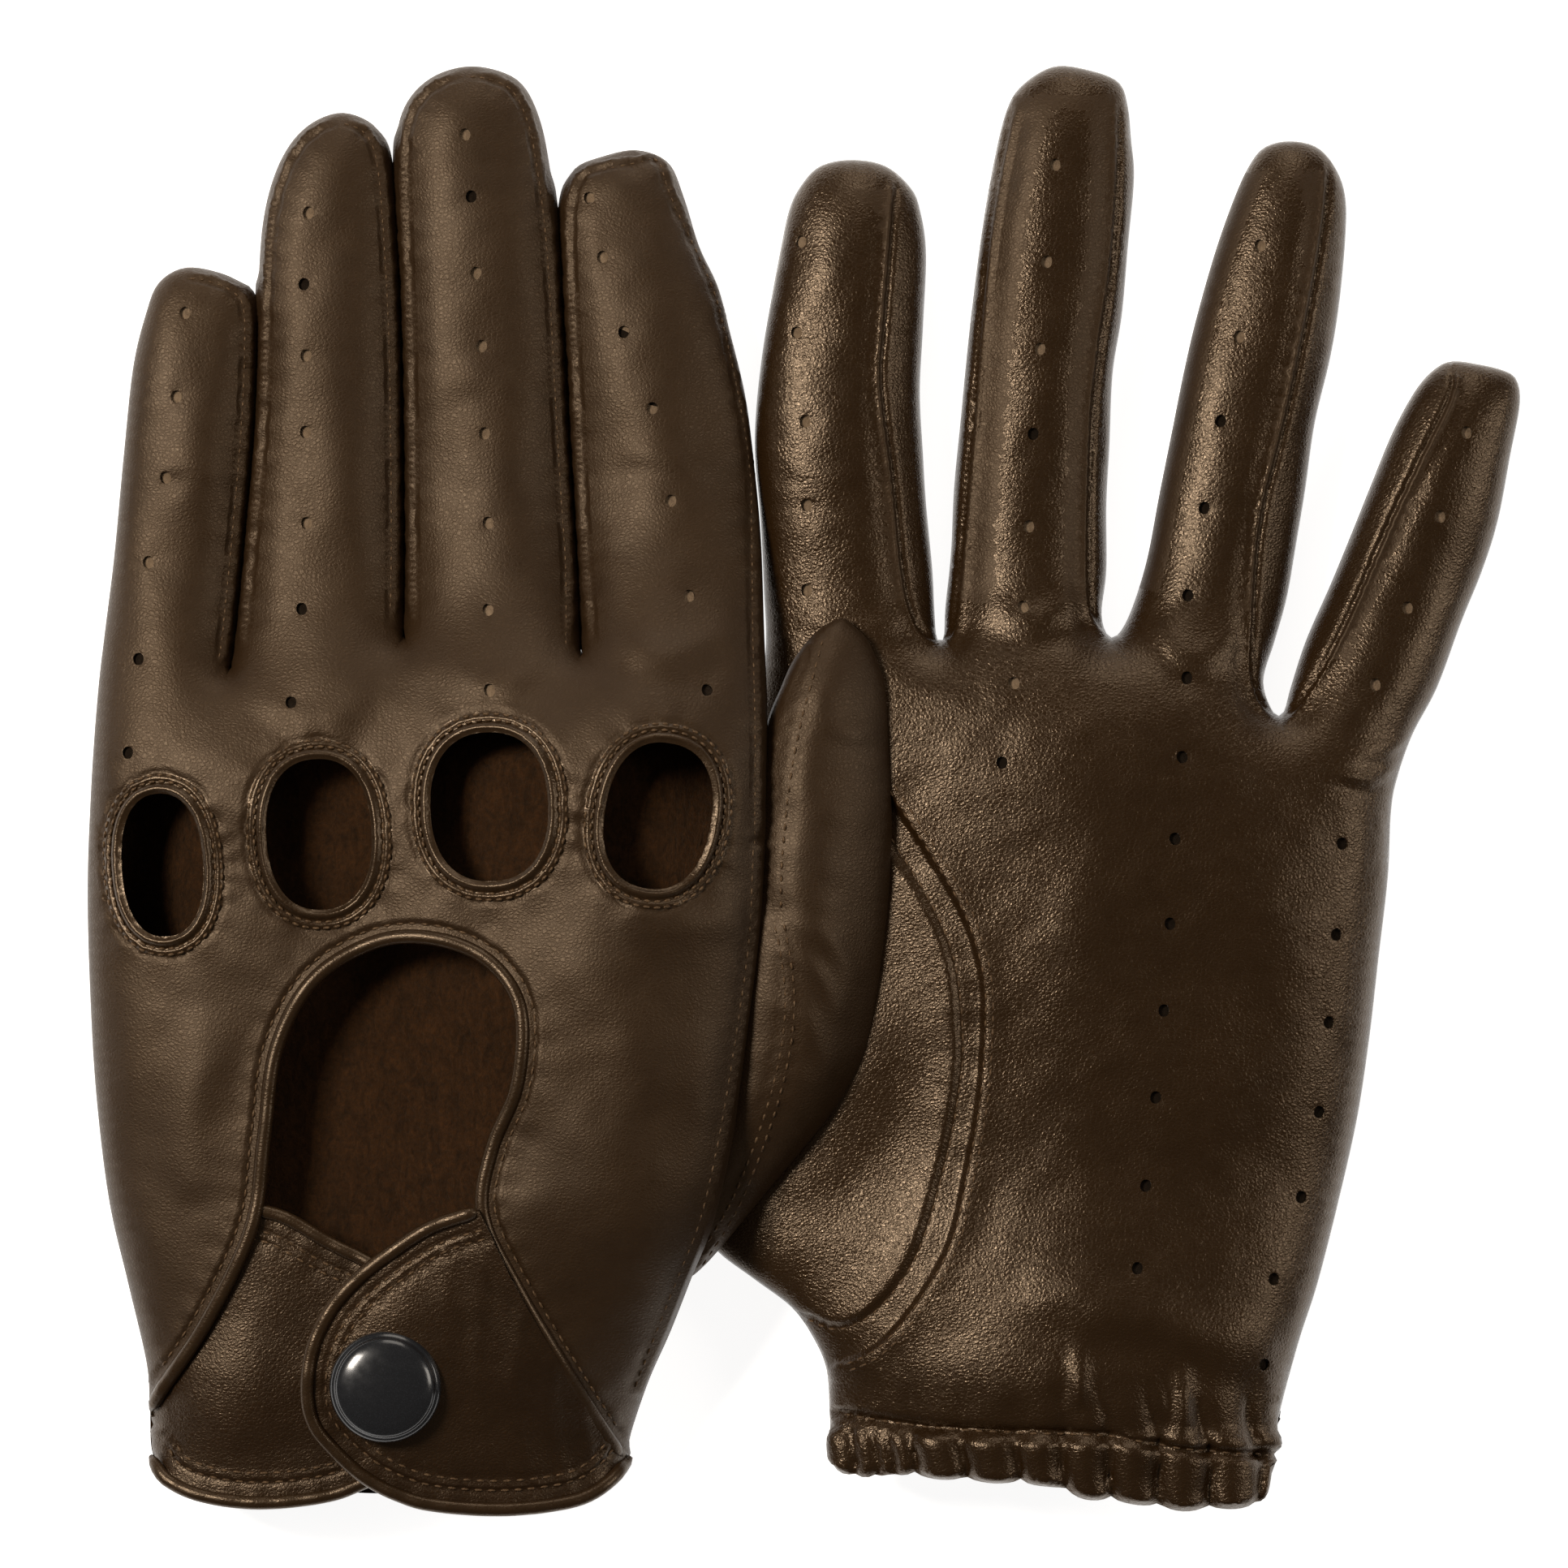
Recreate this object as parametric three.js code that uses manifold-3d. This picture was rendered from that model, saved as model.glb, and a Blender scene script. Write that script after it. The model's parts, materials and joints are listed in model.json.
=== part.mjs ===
// A pair of unlined leather driving gloves laid out on a flat surface, in millimetres, +Z up.
// The lower glove lies palm up. The upper glove lies back up beside it, with its edge and its
// thumb resting on the lower glove's thumb and palm. Fingers point along +Y.
import * as THREE from "three";
import { mergeVertices } from "three/addons/utils/BufferGeometryUtils.js";
import Module from "manifold-3d";

const wasm = await Module();
wasm.setup();

// Driving dimensions.
const WALL = 1.0; // leather thickness
const GAP = 0.3; // clearance between neighbouring pieces
const REST_SINK = 0.8; // how far the rounded underside is pressed flat where it rests
const ROUNDNESS = 2.6; // superellipse exponent of the hand's cross-section
const HEM_TOP = -101; // where the gathered wrist hem starts
const TAB = 1.6; // thickness of the doubled strap leather
const BINDING_R = 1.1; // radius of the rolled edge bindings
const FORK = 1.7; // how far the fourchette reaches in from a finger's side, in plan
const CAP_R = 8.7; // press stud cap
const FAR = 400; // half-size of the boxes used as half-spaces
const CUFF_DEPTH = 6.5; // depth of the under tab below the back, at the press stud

const FINGERS = ["little", "ring", "middle", "index"];

// Each digit has points along its centreline, half-widths there and the length of its rounded tip.
// A thumb also has the heights and half-thicknesses of its centreline, as it lies on or under the
// other glove. webs is the line between the fingers and cuff the wrist's edge, both in plan, and
// hinges gives the y where each finger folds.
const UPPER = {
  name: "upper",
  backUp: true,
  sections: [
    [-116, -104, -30.5, 11.5],
    [-106, -105, -28.5, 12],
    [-87, -107, -21.4, 12],
    [-67, -111.5, -14, 13],
    [-54, -113.5, -11, 13],
    [-34, -115, -8.5, 13],
    [-12, -115, -6.3, 12.5],
    [4, -114.3, -6, 11.5],
    [16, -113, -6.2, 10.3],
    [32, -111, -6.5, 9.5],
  ],
  webs: [[-113, 13], [-92.5, 14.5], [-64, 23.5], [-36, 21.5], [-6.2, 22]],
  cuff: [[-104, -101], [-100, -112], [-66, -115], [-31, -112], [-28, -104]],
  digits: {
    little: { path: [[-102.2, 6], [-101, 33], [-99.3, 56], [-97.6, 71.5]], half: [10.4, 10.5, 10.1, 9.4], tip: 11.4 },
    ring: { path: [[-77.2, 12], [-77.1, 40], [-76.8, 66], [-75.6, 92]], half: [13.1, 12.3, 11.5, 10.8], tip: 15.8 },
    middle: { path: [[-49.5, 12], [-50.3, 46], [-51.5, 78], [-53.3, 102.2]], half: [13.5, 13.3, 13.3, 13], tip: 13.2 },
    index: { path: [[-20.7, 12], [-21.6, 42], [-24, 68], [-27.2, 84]], half: [14.2, 14.6, 13.3, 12.2], tip: 17.3 },
    thumb: {
      path: [[-24, -84], [-13, -68], [-4, -52], [2, -35.5], [4, -15], [4, 6], [5.4, 15]],
      half: [3, 5.5, 8.2, 9.6, 9.9, 9, 7.6],
      rise: [15, 18.5, 22.3, 24, 24.2, 24.2, 23.6],
      thick: [3, 5, 6.5, 7, 7, 6.8, 6],
      tip: 11,
      hinge: 0.4,
    },
  },
  hinges: { little: 20, ring: 28, middle: 29, index: 28 },
};

const LOWER = {
  name: "lower",
  backUp: false,
  sections: [
    [-118, 6, 73, 10],
    [-106, 4.8, 75.5, 10.5],
    [-93, 3, 78.8, 10.5],
    [-84, 0, 81.3, 10.5],
    [-67, -4, 86, 12.2],
    [-54, -6, 88.5, 12.5],
    [-41, -7, 90.5, 12.5],
    [-15, -7.6, 93.6, 12.3],
    [2, -7, 96, 11.3],
    [14, -6.2, 98, 10],
    [32, -6, 100, 9.2],
  ],
  webs: [[-6, 23], [22, 23.5], [49, 25], [76, 11], [98, 10]],
  cuff: [[4.8, -101], [4.8, -109.5], [33, -111], [59, -115], [73, -115], [77, -101]],
  digits: {
    index: { path: [[7.2, 12], [6.3, 38], [6.6, 63], [7.9, 84]], half: [12.8, 12.6, 12.7, 11.8], tip: 16.2 },
    middle: { path: [[35.2, 12], [36.2, 42], [38.4, 74], [41.3, 102]], half: [13, 12.3, 12.2, 12], tip: 13.4 },
    ring: { path: [[61.6, 12], [67.7, 42], [73.2, 68], [77, 88]], half: [13, 11.4, 11.2, 10.7], tip: 15.6 },
    little: { path: [[85.6, 3], [93, 24], [99.8, 43], [104.2, 56]], half: [11, 10.8, 10.6, 9.6], tip: 12 },
    thumb: {
      path: [[14, -76], [2, -62], [-8, -46], [-14, -30], [-16.5, -14], [-17, 0]],
      half: [16, 17.5, 14.5, 11.5, 10, 8.6],
      rise: [9.5, 7, 5.8, 5, 4.8, 4.7],
      thick: [8, 7.2, 6, 5.4, 5.2, 5.1],
      tip: 9,
    },
  },
  hinges: { little: 18, ring: 29, middle: 29, index: 29 },
};

// Features of the back, in the upper glove's plan. The lower glove mirrors them across its width.
const KEYHOLE = [
  [-105.5, -104], [-101.5, -95], [-95, -85], [-88, -70.5], [-86, -56.5], [-84, -42], [-78, -31], [-68, -25],
  [-58.5, -24.5], [-50, -28], [-45, -35.5], [-45.5, -47.5], [-49.5, -57.5], [-51, -68], [-45.5, -80], [-38, -93],
  [-29.5, -106],
];
const KNUCKLES = {
  little: { at: [-102.5, -13], radii: [7.3, 12] },
  ring: { at: [-77, -8], radii: [9.3, 12.8] },
  middle: { at: [-50, -4], radii: [10.6, 12.6] },
  index: { at: [-23.5, -5], radii: [9.3, 12.5] },
};
const STUD_AT = [-66.5, -95.5];
const STRAP = [
  [-52.5, -70], [-61.5, -73.5], [-69.5, -79], [-76, -87.5], [-78, -95.5], [-75.5, -104.5], [-66.5, -111.5],
  [-50, -114.5], [-33.5, -111],
];
const STRAP_HINGE = [[-50.5, -69.5], [-31.5, -107.5]];
const UNDER_TAB = [
  [-90, -67], [-84, -68.5], [-69, -78.5], [-56, -86], [-53, -96], [-58, -108], [-71, -112.5], [-86, -114],
  [-100, -110.5], [-101.5, -101], [-95, -80],
];
const UNDER_TAB_EDGE = [
  [-83.5, -70.5], [-69.5, -79.7], [-58, -88], [-55.5, -96], [-60, -106.5], [-71, -110.8], [-86, -111.8], [-97, -109.3],
];

const LEATHER = new THREE.MeshStandardMaterial({ color: 0x3d2b1c, roughness: 0.5, metalness: 0 });
const LEATHER_EDGE = new THREE.MeshStandardMaterial({ color: 0x35241a, roughness: 0.45, metalness: 0 });
const ELASTIC = new THREE.MeshStandardMaterial({ color: 0x241a12, roughness: 0.9, metalness: 0 });
const CAP_ENAMEL = new THREE.MeshStandardMaterial({ color: 0x1d1f22, roughness: 0.25, metalness: 0.3 });
const STEEL = new THREE.MeshStandardMaterial({ color: 0x77787a, roughness: 0.35, metalness: 1 });

const clamp = (v, lo, hi) => Math.min(hi, Math.max(lo, v));
const smooth = (t) => clamp(t, 0, 1) ** 2 * (3 - 2 * clamp(t, 0, 1));
const power = (v, p) => Math.sign(v) * Math.abs(v) ** p;

// How far the upper glove is raised by the lower glove's thumb beneath it.
const upperLift = (x, y) => 11.5 * smooth((x + 66) / 40) * smooth((46 - y) / 34) * smooth((y + 94) / 24);
// How far the lower glove's wrist is raised by its own press stud beneath it.
const lowerLift = (x, y) => 4.6 * smooth((-70 - y) / 14);
// How far the lower glove is pressed down where the upper glove's thumb lies on it.
const lowerPress = (x, y) => 1 - 0.33 * smooth((30 - x) / 22) * smooth((30 - y) / 12);

UPPER.lay = (x, y, z) => z + upperLift(x, y);
LOWER.lay = (x, y, z) => z * lowerPress(x, y) + lowerLift(x, y);

// Turns a closed three.js geometry into a solid, with its faces pointing out.
function solid(geometry) {
  const bare = geometry.clone();
  bare.deleteAttribute("normal");
  bare.deleteAttribute("uv");
  const merged = mergeVertices(bare, 1e-4);
  const triVerts = new Uint32Array(merged.index.array);
  const make = () => new wasm.Manifold(new wasm.Mesh({ numProp: 3, vertProperties: merged.attributes.position.array, triVerts }));
  if (make().volume() < 0) triVerts.reverse();
  return make();
}

// Moves every vertex of a geometry to where place(x, y, z) says.
function warp(geometry, place) {
  const p = geometry.attributes.position;
  for (let i = 0; i < p.count; i++) p.setXYZ(i, ...place(p.getX(i), p.getY(i), p.getZ(i)));
  return geometry;
}

function toMesh(name, body, material) {
  const { vertProperties, triVerts } = largest(body).getMesh();
  const geometry = new THREE.BufferGeometry();
  geometry.setAttribute("position", new THREE.BufferAttribute(vertProperties, 3));
  geometry.setIndex(new THREE.BufferAttribute(triVerts, 1));
  const mesh = new THREE.Mesh(geometry, material);
  mesh.name = name;
  return mesh;
}

// A cut can leave slivers beside the piece itself; only the piece is kept.
const largest = (body) => body.decompose().sort((a, b) => b.volume() - a.volume())[0];

const box = (x0, x1, y0, y1, z0, z1) =>
  solid(new THREE.BoxGeometry(x1 - x0, y1 - y0, z1 - z0).translate((x0 + x1) / 2, (y0 + y1) / 2, (z0 + z1) / 2));
const above = (z) => box(-FAR, FAR, -FAR, FAR, z, FAR);

// A plan outline extruded right through the gloves.
function prism(points, curved = false) {
  const flat = points.map(([x, y]) => new THREE.Vector2(x, y));
  const outline = curved ? new THREE.SplineCurve([...flat, flat[0]]).getPoints(flat.length * 2).slice(0, -1) : flat;
  return solid(new THREE.ExtrudeGeometry(new THREE.Shape(outline), { depth: 200, bevelEnabled: false }).translate(0, 0, -80));
}

// Linear interpolation of table rows [key, ...values] at a key.
function lookup(rows, key) {
  const last = rows.length - 1;
  let i = rows.findIndex((r) => r[0] > key) - 1;
  if (key <= rows[0][0]) i = 0;
  if (i < 0) i = last - 1;
  const t = clamp((key - rows[i][0]) / (rows[i + 1][0] - rows[i][0]), 0, 1);
  return rows[i].slice(1).map((v, k) => v + t * (rows[i + 1][k + 1] - v));
}

// The hand's body, inset by a depth that may depend on the place.
function handBody(glove, inset) {
  const depth = typeof inset === "function" ? inset : () => inset;
  const sides = 24;
  const keys = glove.sections.map((s) => s[0]);
  const open = typeof inset === "number" && inset > 0 ? 3 : 0;
  const place = (cx, t, cz) => {
    const key = keys[Math.round((t + 0.5) * (keys.length - 1))];
    const [left, right, b] = lookup(glove.sections, key);
    const y = key === keys[0] ? key - open : key;
    const x0 = (left + right) / 2 + ((right - left) / 2) * power(cx, 2 / ROUNDNESS);
    const d = depth(x0, y);
    const z0 = Math.max(glove.lay(x0, y, b - REST_SINK + b * power(cz, 2 / ROUNDNESS)), 0);
    return [x0 - d * power(cx, 2 / ROUNDNESS), y, z0 - d * power(cz, 2 / ROUNDNESS)];
  };
  return solid(warp(new THREE.CylinderGeometry(1, 1, 1, sides, keys.length - 1), place));
}

// Height of the hand's outer surface on its back, which faces up or down.
function backHeight(glove, x, y) {
  const [left, right, b] = lookup(glove.sections, y);
  const u = clamp(Math.abs((x - (left + right) / 2) / ((right - left) / 2)), 0, 0.985);
  const bulge = b * (1 - u ** ROUNDNESS) ** (1 / ROUNDNESS);
  const z = b - REST_SINK + (glove.backUp ? bulge : -bulge);
  return Math.max(glove.lay(x, y, z), 0);
}

// A point of the upper glove's plan, or the same point mirrored across the lower glove's width.
function plan(glove, [x, y]) {
  if (glove.backUp) return [x, y];
  const [left, right] = lookup(UPPER.sections, y);
  const [from, to] = lookup(glove.sections, y);
  return [to + ((x - left) / (right - left)) * (from - to), y];
}

// A digit as stations along its centreline: place, half-width, half-thickness and height.
function stations(digit, inset) {
  const curve = new THREE.CatmullRomCurve3(digit.path.map(([x, y]) => new THREE.Vector3(x, y, 0)), false, "centripetal");
  const n = digit.path.length - 1;
  const at = (row, t) => {
    const i = Math.min(n - 1, Math.floor(t * n));
    return row[i] + (t * n - i) * (row[i + 1] - row[i]);
  };
  const thick = digit.thick ?? digit.half.map((w) => 2.5 + 0.46 * w);
  const rise = digit.rise ?? thick.map((h) => h - REST_SINK);
  const shaft = [0, 0.3, 0.65, 1].map((t) => ({
    p: curve.getPoint(t), dir: curve.getTangent(t), w: at(digit.half, t), h: at(thick, t), z: at(rise, t),
  }));
  const end = shaft[shaft.length - 1];
  const tip = [0.6, 0.94].map((s) => {
    const shrink = Math.sqrt(1 - s * s);
    const reach = digit.tip * s * (1 - inset / digit.tip);
    return { ...end, p: end.p.clone().addScaledVector(end.dir, reach), w: end.w * shrink, h: end.h * (0.35 + 0.65 * shrink) };
  });
  return [...shaft, ...tip].map((s) => ({ ...s, w: Math.max(s.w - inset, 0.8), h: Math.max(s.h, inset + 0.8) }));
}

function digitBody(glove, digit, inset) {
  const rings = stations(digit, inset);
  const place = (cx, t, cz) => {
    const s = rings[Math.round((t + 0.5) * (rings.length - 1))];
    const side = new THREE.Vector3(s.dir.y, -s.dir.x, 0);
    const p = s.p.clone().addScaledVector(side, s.w * power(cx, 0.9));
    const level = s.z + s.h * power(cz, 0.9);
    const z0 = Math.max(digit.rise ? level : glove.lay(p.x, p.y, level), 0);
    return [p.x, p.y, z0 - inset * power(cz, 0.9)];
  };
  return solid(warp(new THREE.CylinderGeometry(1, 1, 1, 10, rings.length - 1), place));
}

// Where a finger folds: a point on its centreline and its direction there.
function foldLine(glove, finger) {
  const digit = glove.digits[finger];
  const curve = new THREE.CatmullRomCurve3(digit.path.map(([x, y]) => new THREE.Vector3(x, y, 0)), false, "centripetal");
  const y = glove.hinges[finger];
  let t = 0;
  while (curve.getPoint(t).y < y && t < 1) t += 0.002;
  return { p: curve.getPoint(t), dir: curve.getTangent(t) };
}

// The half-space beyond a vertical plane through p, facing dir.
function beyond({ p, dir }, shift) {
  const slab = new THREE.BoxGeometry(2 * FAR, FAR, 2 * FAR).translate(0, FAR / 2 + shift, 0);
  return solid(slab.rotateZ(Math.atan2(dir.y, dir.x) - Math.PI / 2).translate(p.x, p.y, 0));
}

// The strip of plan along one side of a digit: side is 1 for its right and -1 for its left.
function sideStrip(digit, side, reach, outer) {
  const rings = stations(digit, 0).slice(0, 5);
  const offset = (s, d) => [s.p.x + side * s.dir.y * d, s.p.y - side * s.dir.x * d];
  const near = rings.map((s) => offset(s, s.w - reach));
  const far = rings.map((s) => offset(s, s.w + outer)).reverse();
  return prism([...near, ...far]);
}

// A finger's own leather and its fourchettes, all of them beyond the fold line.
function fingerPieces(glove, finger) {
  const digit = glove.digits[finger];
  const shell = digitBody(glove, digit, 0).subtract(digitBody(glove, digit, WALL));
  const leather = shell.intersect(beyond(foldLine(glove, finger), GAP / 2));
  const neighbours = { little: ["ring"], ring: ["little", "middle"], middle: ["ring", "index"], index: ["middle"] }[finger];
  const order = glove.backUp ? 1 : -1;
  const found = {};
  let rest = leather;
  for (const other of neighbours) {
    const side = Math.sign(FINGERS.indexOf(other) - FINGERS.indexOf(finger)) * order;
    found[`${finger}_fourchette_by_${other}`] = leather.intersect(sideStrip(digit, side, FORK, 3));
    rest = rest.subtract(sideStrip(digit, side, FORK + GAP, 3));
  }
  found[`${finger}_finger`] = rest;
  return found;
}

// The hand's leather with the stubs of the fingers, still in one piece.
function handShell(glove) {
  const reach = prism(limits(glove, 0));
  const innerReach = prism(limits(glove, WALL));
  const stub = (finger, inset) => digitBody(glove, glove.digits[finger], inset);
  let outer = handBody(glove, 0).intersect(reach);
  let inner = handBody(glove, WALL).intersect(innerReach);
  for (const finger of FINGERS) {
    const fold = foldLine(glove, finger);
    outer = outer.add(stub(finger, 0).subtract(beyond(fold, -GAP / 2)));
    inner = inner.add(stub(finger, WALL));
  }
  return { outer, inner };
}

// The plan of the hand's body: the webs between the fingers across the top, open at the wrist.
function limits(glove, inset) {
  const top = glove.webs.map(([x, y]) => [x, y - inset]);
  const [first, last] = [top[0], top[top.length - 1]];
  return [[first[0] - 20, first[1]], ...top, [last[0] + 20, last[1]], [last[0] + 20, -FAR], [first[0] - 20, -FAR]];
}

// The solid on the back's side of the seam that runs round the hand at half height.
function backHalf(glove, shift) {
  const place = (x, y, z) => {
    const b = lookup(glove.sections, y)[2];
    const seam = glove.lay(x, y, b - REST_SINK) + shift;
    return [x, y, (glove.backUp ? z > 0 : z < 0) ? z * 150 : seam];
  };
  const slab = new THREE.BoxGeometry(260, 260, 2, 8, 8, 1);
  return solid(warp(slab, (x, y, z) => place(x, y, z)));
}

// A ring of binding round an opening, lying on the back.
function knuckleRing(glove, { at, radii }, r) {
  const big = 10;
  const [cx, cy] = plan(glove, at);
  const place = (x, y, z) => {
    const angle = Math.atan2(y, x);
    const off = Math.hypot(x, y) - big;
    const px = cx + Math.cos(angle) * radii[0];
    const py = cy + Math.sin(angle) * radii[1];
    return [px + Math.cos(angle) * off, py + Math.sin(angle) * off, Math.max(backHeight(glove, px, py), BINDING_R) + z];
  };
  return solid(warp(new THREE.TorusGeometry(big, r, 5, 14), place));
}

// The cut in the back that such a ring sits in.
function knuckleHole(glove, { at, radii }) {
  const [x, y] = plan(glove, at);
  const [a, b] = radii.map((r) => r + BINDING_R + GAP);
  return solid(new THREE.CylinderGeometry(1, 1, 200, 14).rotateX(Math.PI / 2).scale(a, b, 1).translate(x, y, 0));
}

// A line of points moved sideways, to the left of its direction when d is positive.
function offset(points, d) {
  return points.map(([x, y], i) => {
    const [a, b] = [points[Math.max(i - 1, 0)], points[Math.min(i + 1, points.length - 1)]];
    const length = Math.hypot(b[0] - a[0], b[1] - a[1]);
    return [x - (d * (b[1] - a[1])) / length, y + (d * (b[0] - a[0])) / length];
  });
}

// A rolled binding along a line of plan points, at a depth below the back.
function binding(glove, points, depth, r) {
  const out = glove.backUp ? 1 : -1;
  const lifted = points.map((q) => {
    const [x, y] = plan(glove, q);
    const d = typeof depth === "function" ? depth(...q) : depth;
    return new THREE.Vector3(x, y, Math.max(backHeight(glove, x, y) - out * d, BINDING_R + GAP));
  });
  const section = new THREE.Shape(new THREE.EllipseCurve(0, 0, r, r, 0, 2 * Math.PI).getPoints(6).slice(0, -1));
  const path = new THREE.CatmullRomCurve3(lifted, false, "centripetal");
  return solid(new THREE.ExtrudeGeometry(section, { steps: points.length * 2 - 2, extrudePath: path, bevelEnabled: false }));
}

// A layer of leather that follows the back between two depths, cut to a plan outline.
function layer(glove, outline, depth) {
  const top = typeof depth === "function" ? (x, y) => depth(x, y) : () => depth;
  const sheet = handBody(glove, (x, y) => top(x, y)).subtract(handBody(glove, (x, y) => top(x, y) + TAB));
  return sheet.intersect(prism(outline.map((q) => plan(glove, q)))).intersect(backHalf(glove, 0));
}

// How deep the under tab lies: just under the back at its sewn side, deeper at the press stud.
const underDepth = (glove) => (x) => {
  const sewn = plan(glove, [-95, -95])[0];
  const stud = plan(glove, [-78, -95])[0];
  return 1.6 + (CUFF_DEPTH - 1.6) * smooth((x - sewn) / (stud - sewn));
};

// The four metal pieces of the press stud, turned about its own axis. z is 0 at the strap's outer face.
const STUD_PROFILES = {
  snap_cap: [[0, -3.6], [1.6, -3.6], [1.6, 0.5], [7.8, 0.5], [CAP_R, 1], [8.4, 1.8], [6.4, 2.7], [3.4, 3.1], [0, 3.2]],
  snap_socket: [[1.9, -2.1], [5.7, -2.1], [5.7, -4.7], [3.5, -4.7], [3.5, -2.7], [1.9, -2.7], [1.9, -2.1]],
  snap_stud: [[0, -3.9], [2.6, -3.9], [2.6, -5.1], [5.6, -5.1], [5.6, -5.8], [2, -5.8], [2, -4.9], [0, -4.9]],
  snap_post: [[0, -5.3], [1.6, -5.3], [1.6, -8.6], [5.2, -8.6], [5.2, -9.3], [0, -9.3]],
};

function studPiece(glove, name) {
  const [x, y] = plan(glove, STUD_AT);
  const points = STUD_PROFILES[name].map(([r, z]) => new THREE.Vector2(r, z));
  const turned = new THREE.LatheGeometry(points, 12).rotateX(Math.PI / 2).scale(1, 1, glove.backUp ? 1 : -1);
  return solid(turned.translate(x, y, backHeight(glove, x, y)));
}

// A round hole through the strap or tab for the stud's barrel.
function barrelHole(glove) {
  const [x, y] = plan(glove, STUD_AT);
  return solid(new THREE.CylinderGeometry(2.4, 2.4, 60, 10).rotateX(Math.PI / 2).translate(x, y, backHeight(glove, x, y)));
}

// The strap, its under tab, their bindings and the press stud.
function closure(glove) {
  const deep = underDepth(glove);
  const hole = barrelHole(glove);
  const strapEdge = STRAP.slice(1, -1).map(([x, y]) => [x + (x + 55) * -0.02, y - (y + 95) * 0.03]);
  const strapRoll = (r) => binding(glove, strapEdge, TAB / 2, r);
  const window = binding(glove, KEYHOLE, 0, BINDING_R + GAP);
  const tabDepth = (x, y) => deep(plan(glove, [x, y])[0]) + TAB / 2;
  const tabRoll = (r) => binding(glove, UNDER_TAB_EDGE, tabDepth, r);
  return {
    strap_tab: layer(glove, STRAP, 0).subtract(strapRoll(BINDING_R + GAP)).subtract(hole).subtract(window),
    strap_binding: strapRoll(BINDING_R),
    under_tab: layer(glove, UNDER_TAB, deep).subtract(tabRoll(BINDING_R + GAP)).subtract(hole),
    under_tab_binding: tabRoll(BINDING_R),
  };
}

// Every piece of one glove, as a map from name to [solid, material].
function glovePieces(glove) {
  const pieces = {};
  const put = (name, body, material) => (pieces[name] = [body, material]);
  const { outer, inner } = handShell(glove);
  const thumb = glove.digits.thumb;
  const thumbOuter = digitBody(glove, thumb, 0);
  const thumbInner = digitBody(glove, thumb, WALL);
  const thumbHole = digitBody(glove, thumb, -GAP);
  const shell = outer.subtract(inner).subtract(thumbHole);
  const backSide = backHalf(glove, 0);
  const palmSide = backHalf(glove, glove.backUp ? -GAP : GAP);
  const cuffLimit = prism(cuffOutline(glove));
  const hemBox = box(-FAR, FAR, -FAR, HEM_TOP, -FAR, FAR);
  const panelBox = box(-FAR, FAR, HEM_TOP + GAP, FAR, -FAR, FAR);

  const clearance = (glove.backUp ? 1 : -1) * (BINDING_R + 2 * GAP);
  const keyhole = offset(KEYHOLE.map((q) => plan(glove, q)), clearance);
  const wedge = [...keyhole, [keyhole.at(-1)[0], -130], [keyhole[0][0], -130]];
  let back = shell.intersect(backSide).intersect(cuffLimit).subtract(prism(wedge));
  for (const [finger, ring] of Object.entries(KNUCKLES)) {
    back = back.subtract(knuckleHole(glove, ring));
    put(`${finger}_knuckle_ring`, knuckleRing(glove, ring, BINDING_R), LEATHER_EDGE);
  }
  put("back_panel", back, LEATHER);
  const palm = shell.subtract(palmSide).intersect(cuffLimit);
  put("palm_panel", palm.intersect(panelBox), LEATHER);
  const hemSkin = handBody(glove, 0).subtract(handBody(glove, WALL)).subtract(palmSide).intersect(cuffLimit).intersect(hemBox);
  put("palm_hem", hemSkin, LEATHER);
  const band = handBody(glove, WALL + GAP).subtract(handBody(glove, WALL + GAP + 0.9)).subtract(palmSide);
  const bandBox = box(-FAR, FAR, HEM_TOP - 7.5, HEM_TOP - 1, -FAR, FAR);
  put("wrist_elastic", band.intersect(bandBox), ELASTIC);
  put("window_binding", binding(glove, KEYHOLE, 0, BINDING_R), LEATHER_EDGE);

  for (const finger of FINGERS)
    for (const [name, body] of Object.entries(fingerPieces(glove, finger))) put(name, body, LEATHER);

  const outside = handBody(glove, -GAP).intersect(prism(limits(glove, -GAP)));
  const thumbShell = thumbOuter.subtract(thumbInner).subtract(outside);
  if (glove.backUp) {
    const fold = thumbFold(glove);
    put("thumb", thumbShell.intersect(beyond(fold, GAP / 2)), LEATHER);
    put("thumb_gusset", thumbShell.subtract(beyond(fold, -GAP / 2)), LEATHER);
  } else put("thumb", thumbShell, LEATHER);

  for (const [name, body] of Object.entries(closure(glove)))
    put(name, body, name.endsWith("binding") ? LEATHER_EDGE : LEATHER);
  for (const name of Object.keys(STUD_PROFILES)) put(name, studPiece(glove, name), name === "snap_cap" ? CAP_ENAMEL : STEEL);
  return pieces;
}

// Where the upper glove's thumb folds.
function thumbFold(glove) {
  const path = glove.digits.thumb.path.map(([x, y]) => new THREE.Vector3(x, y, 0));
  const curve = new THREE.CatmullRomCurve3(path, false, "centripetal");
  return { p: curve.getPoint(glove.digits.thumb.hinge), dir: curve.getTangent(glove.digits.thumb.hinge) };
}

// The cuff's lower edge, with the rest of the glove inside it.
function cuffOutline(glove) {
  const [first, last] = [glove.cuff[0], glove.cuff.at(-1)];
  return [[first[0] - 40, first[1]], ...glove.cuff, [last[0] + 40, last[1]], [last[0] + 40, FAR], [first[0] - 40, FAR]];
}

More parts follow.
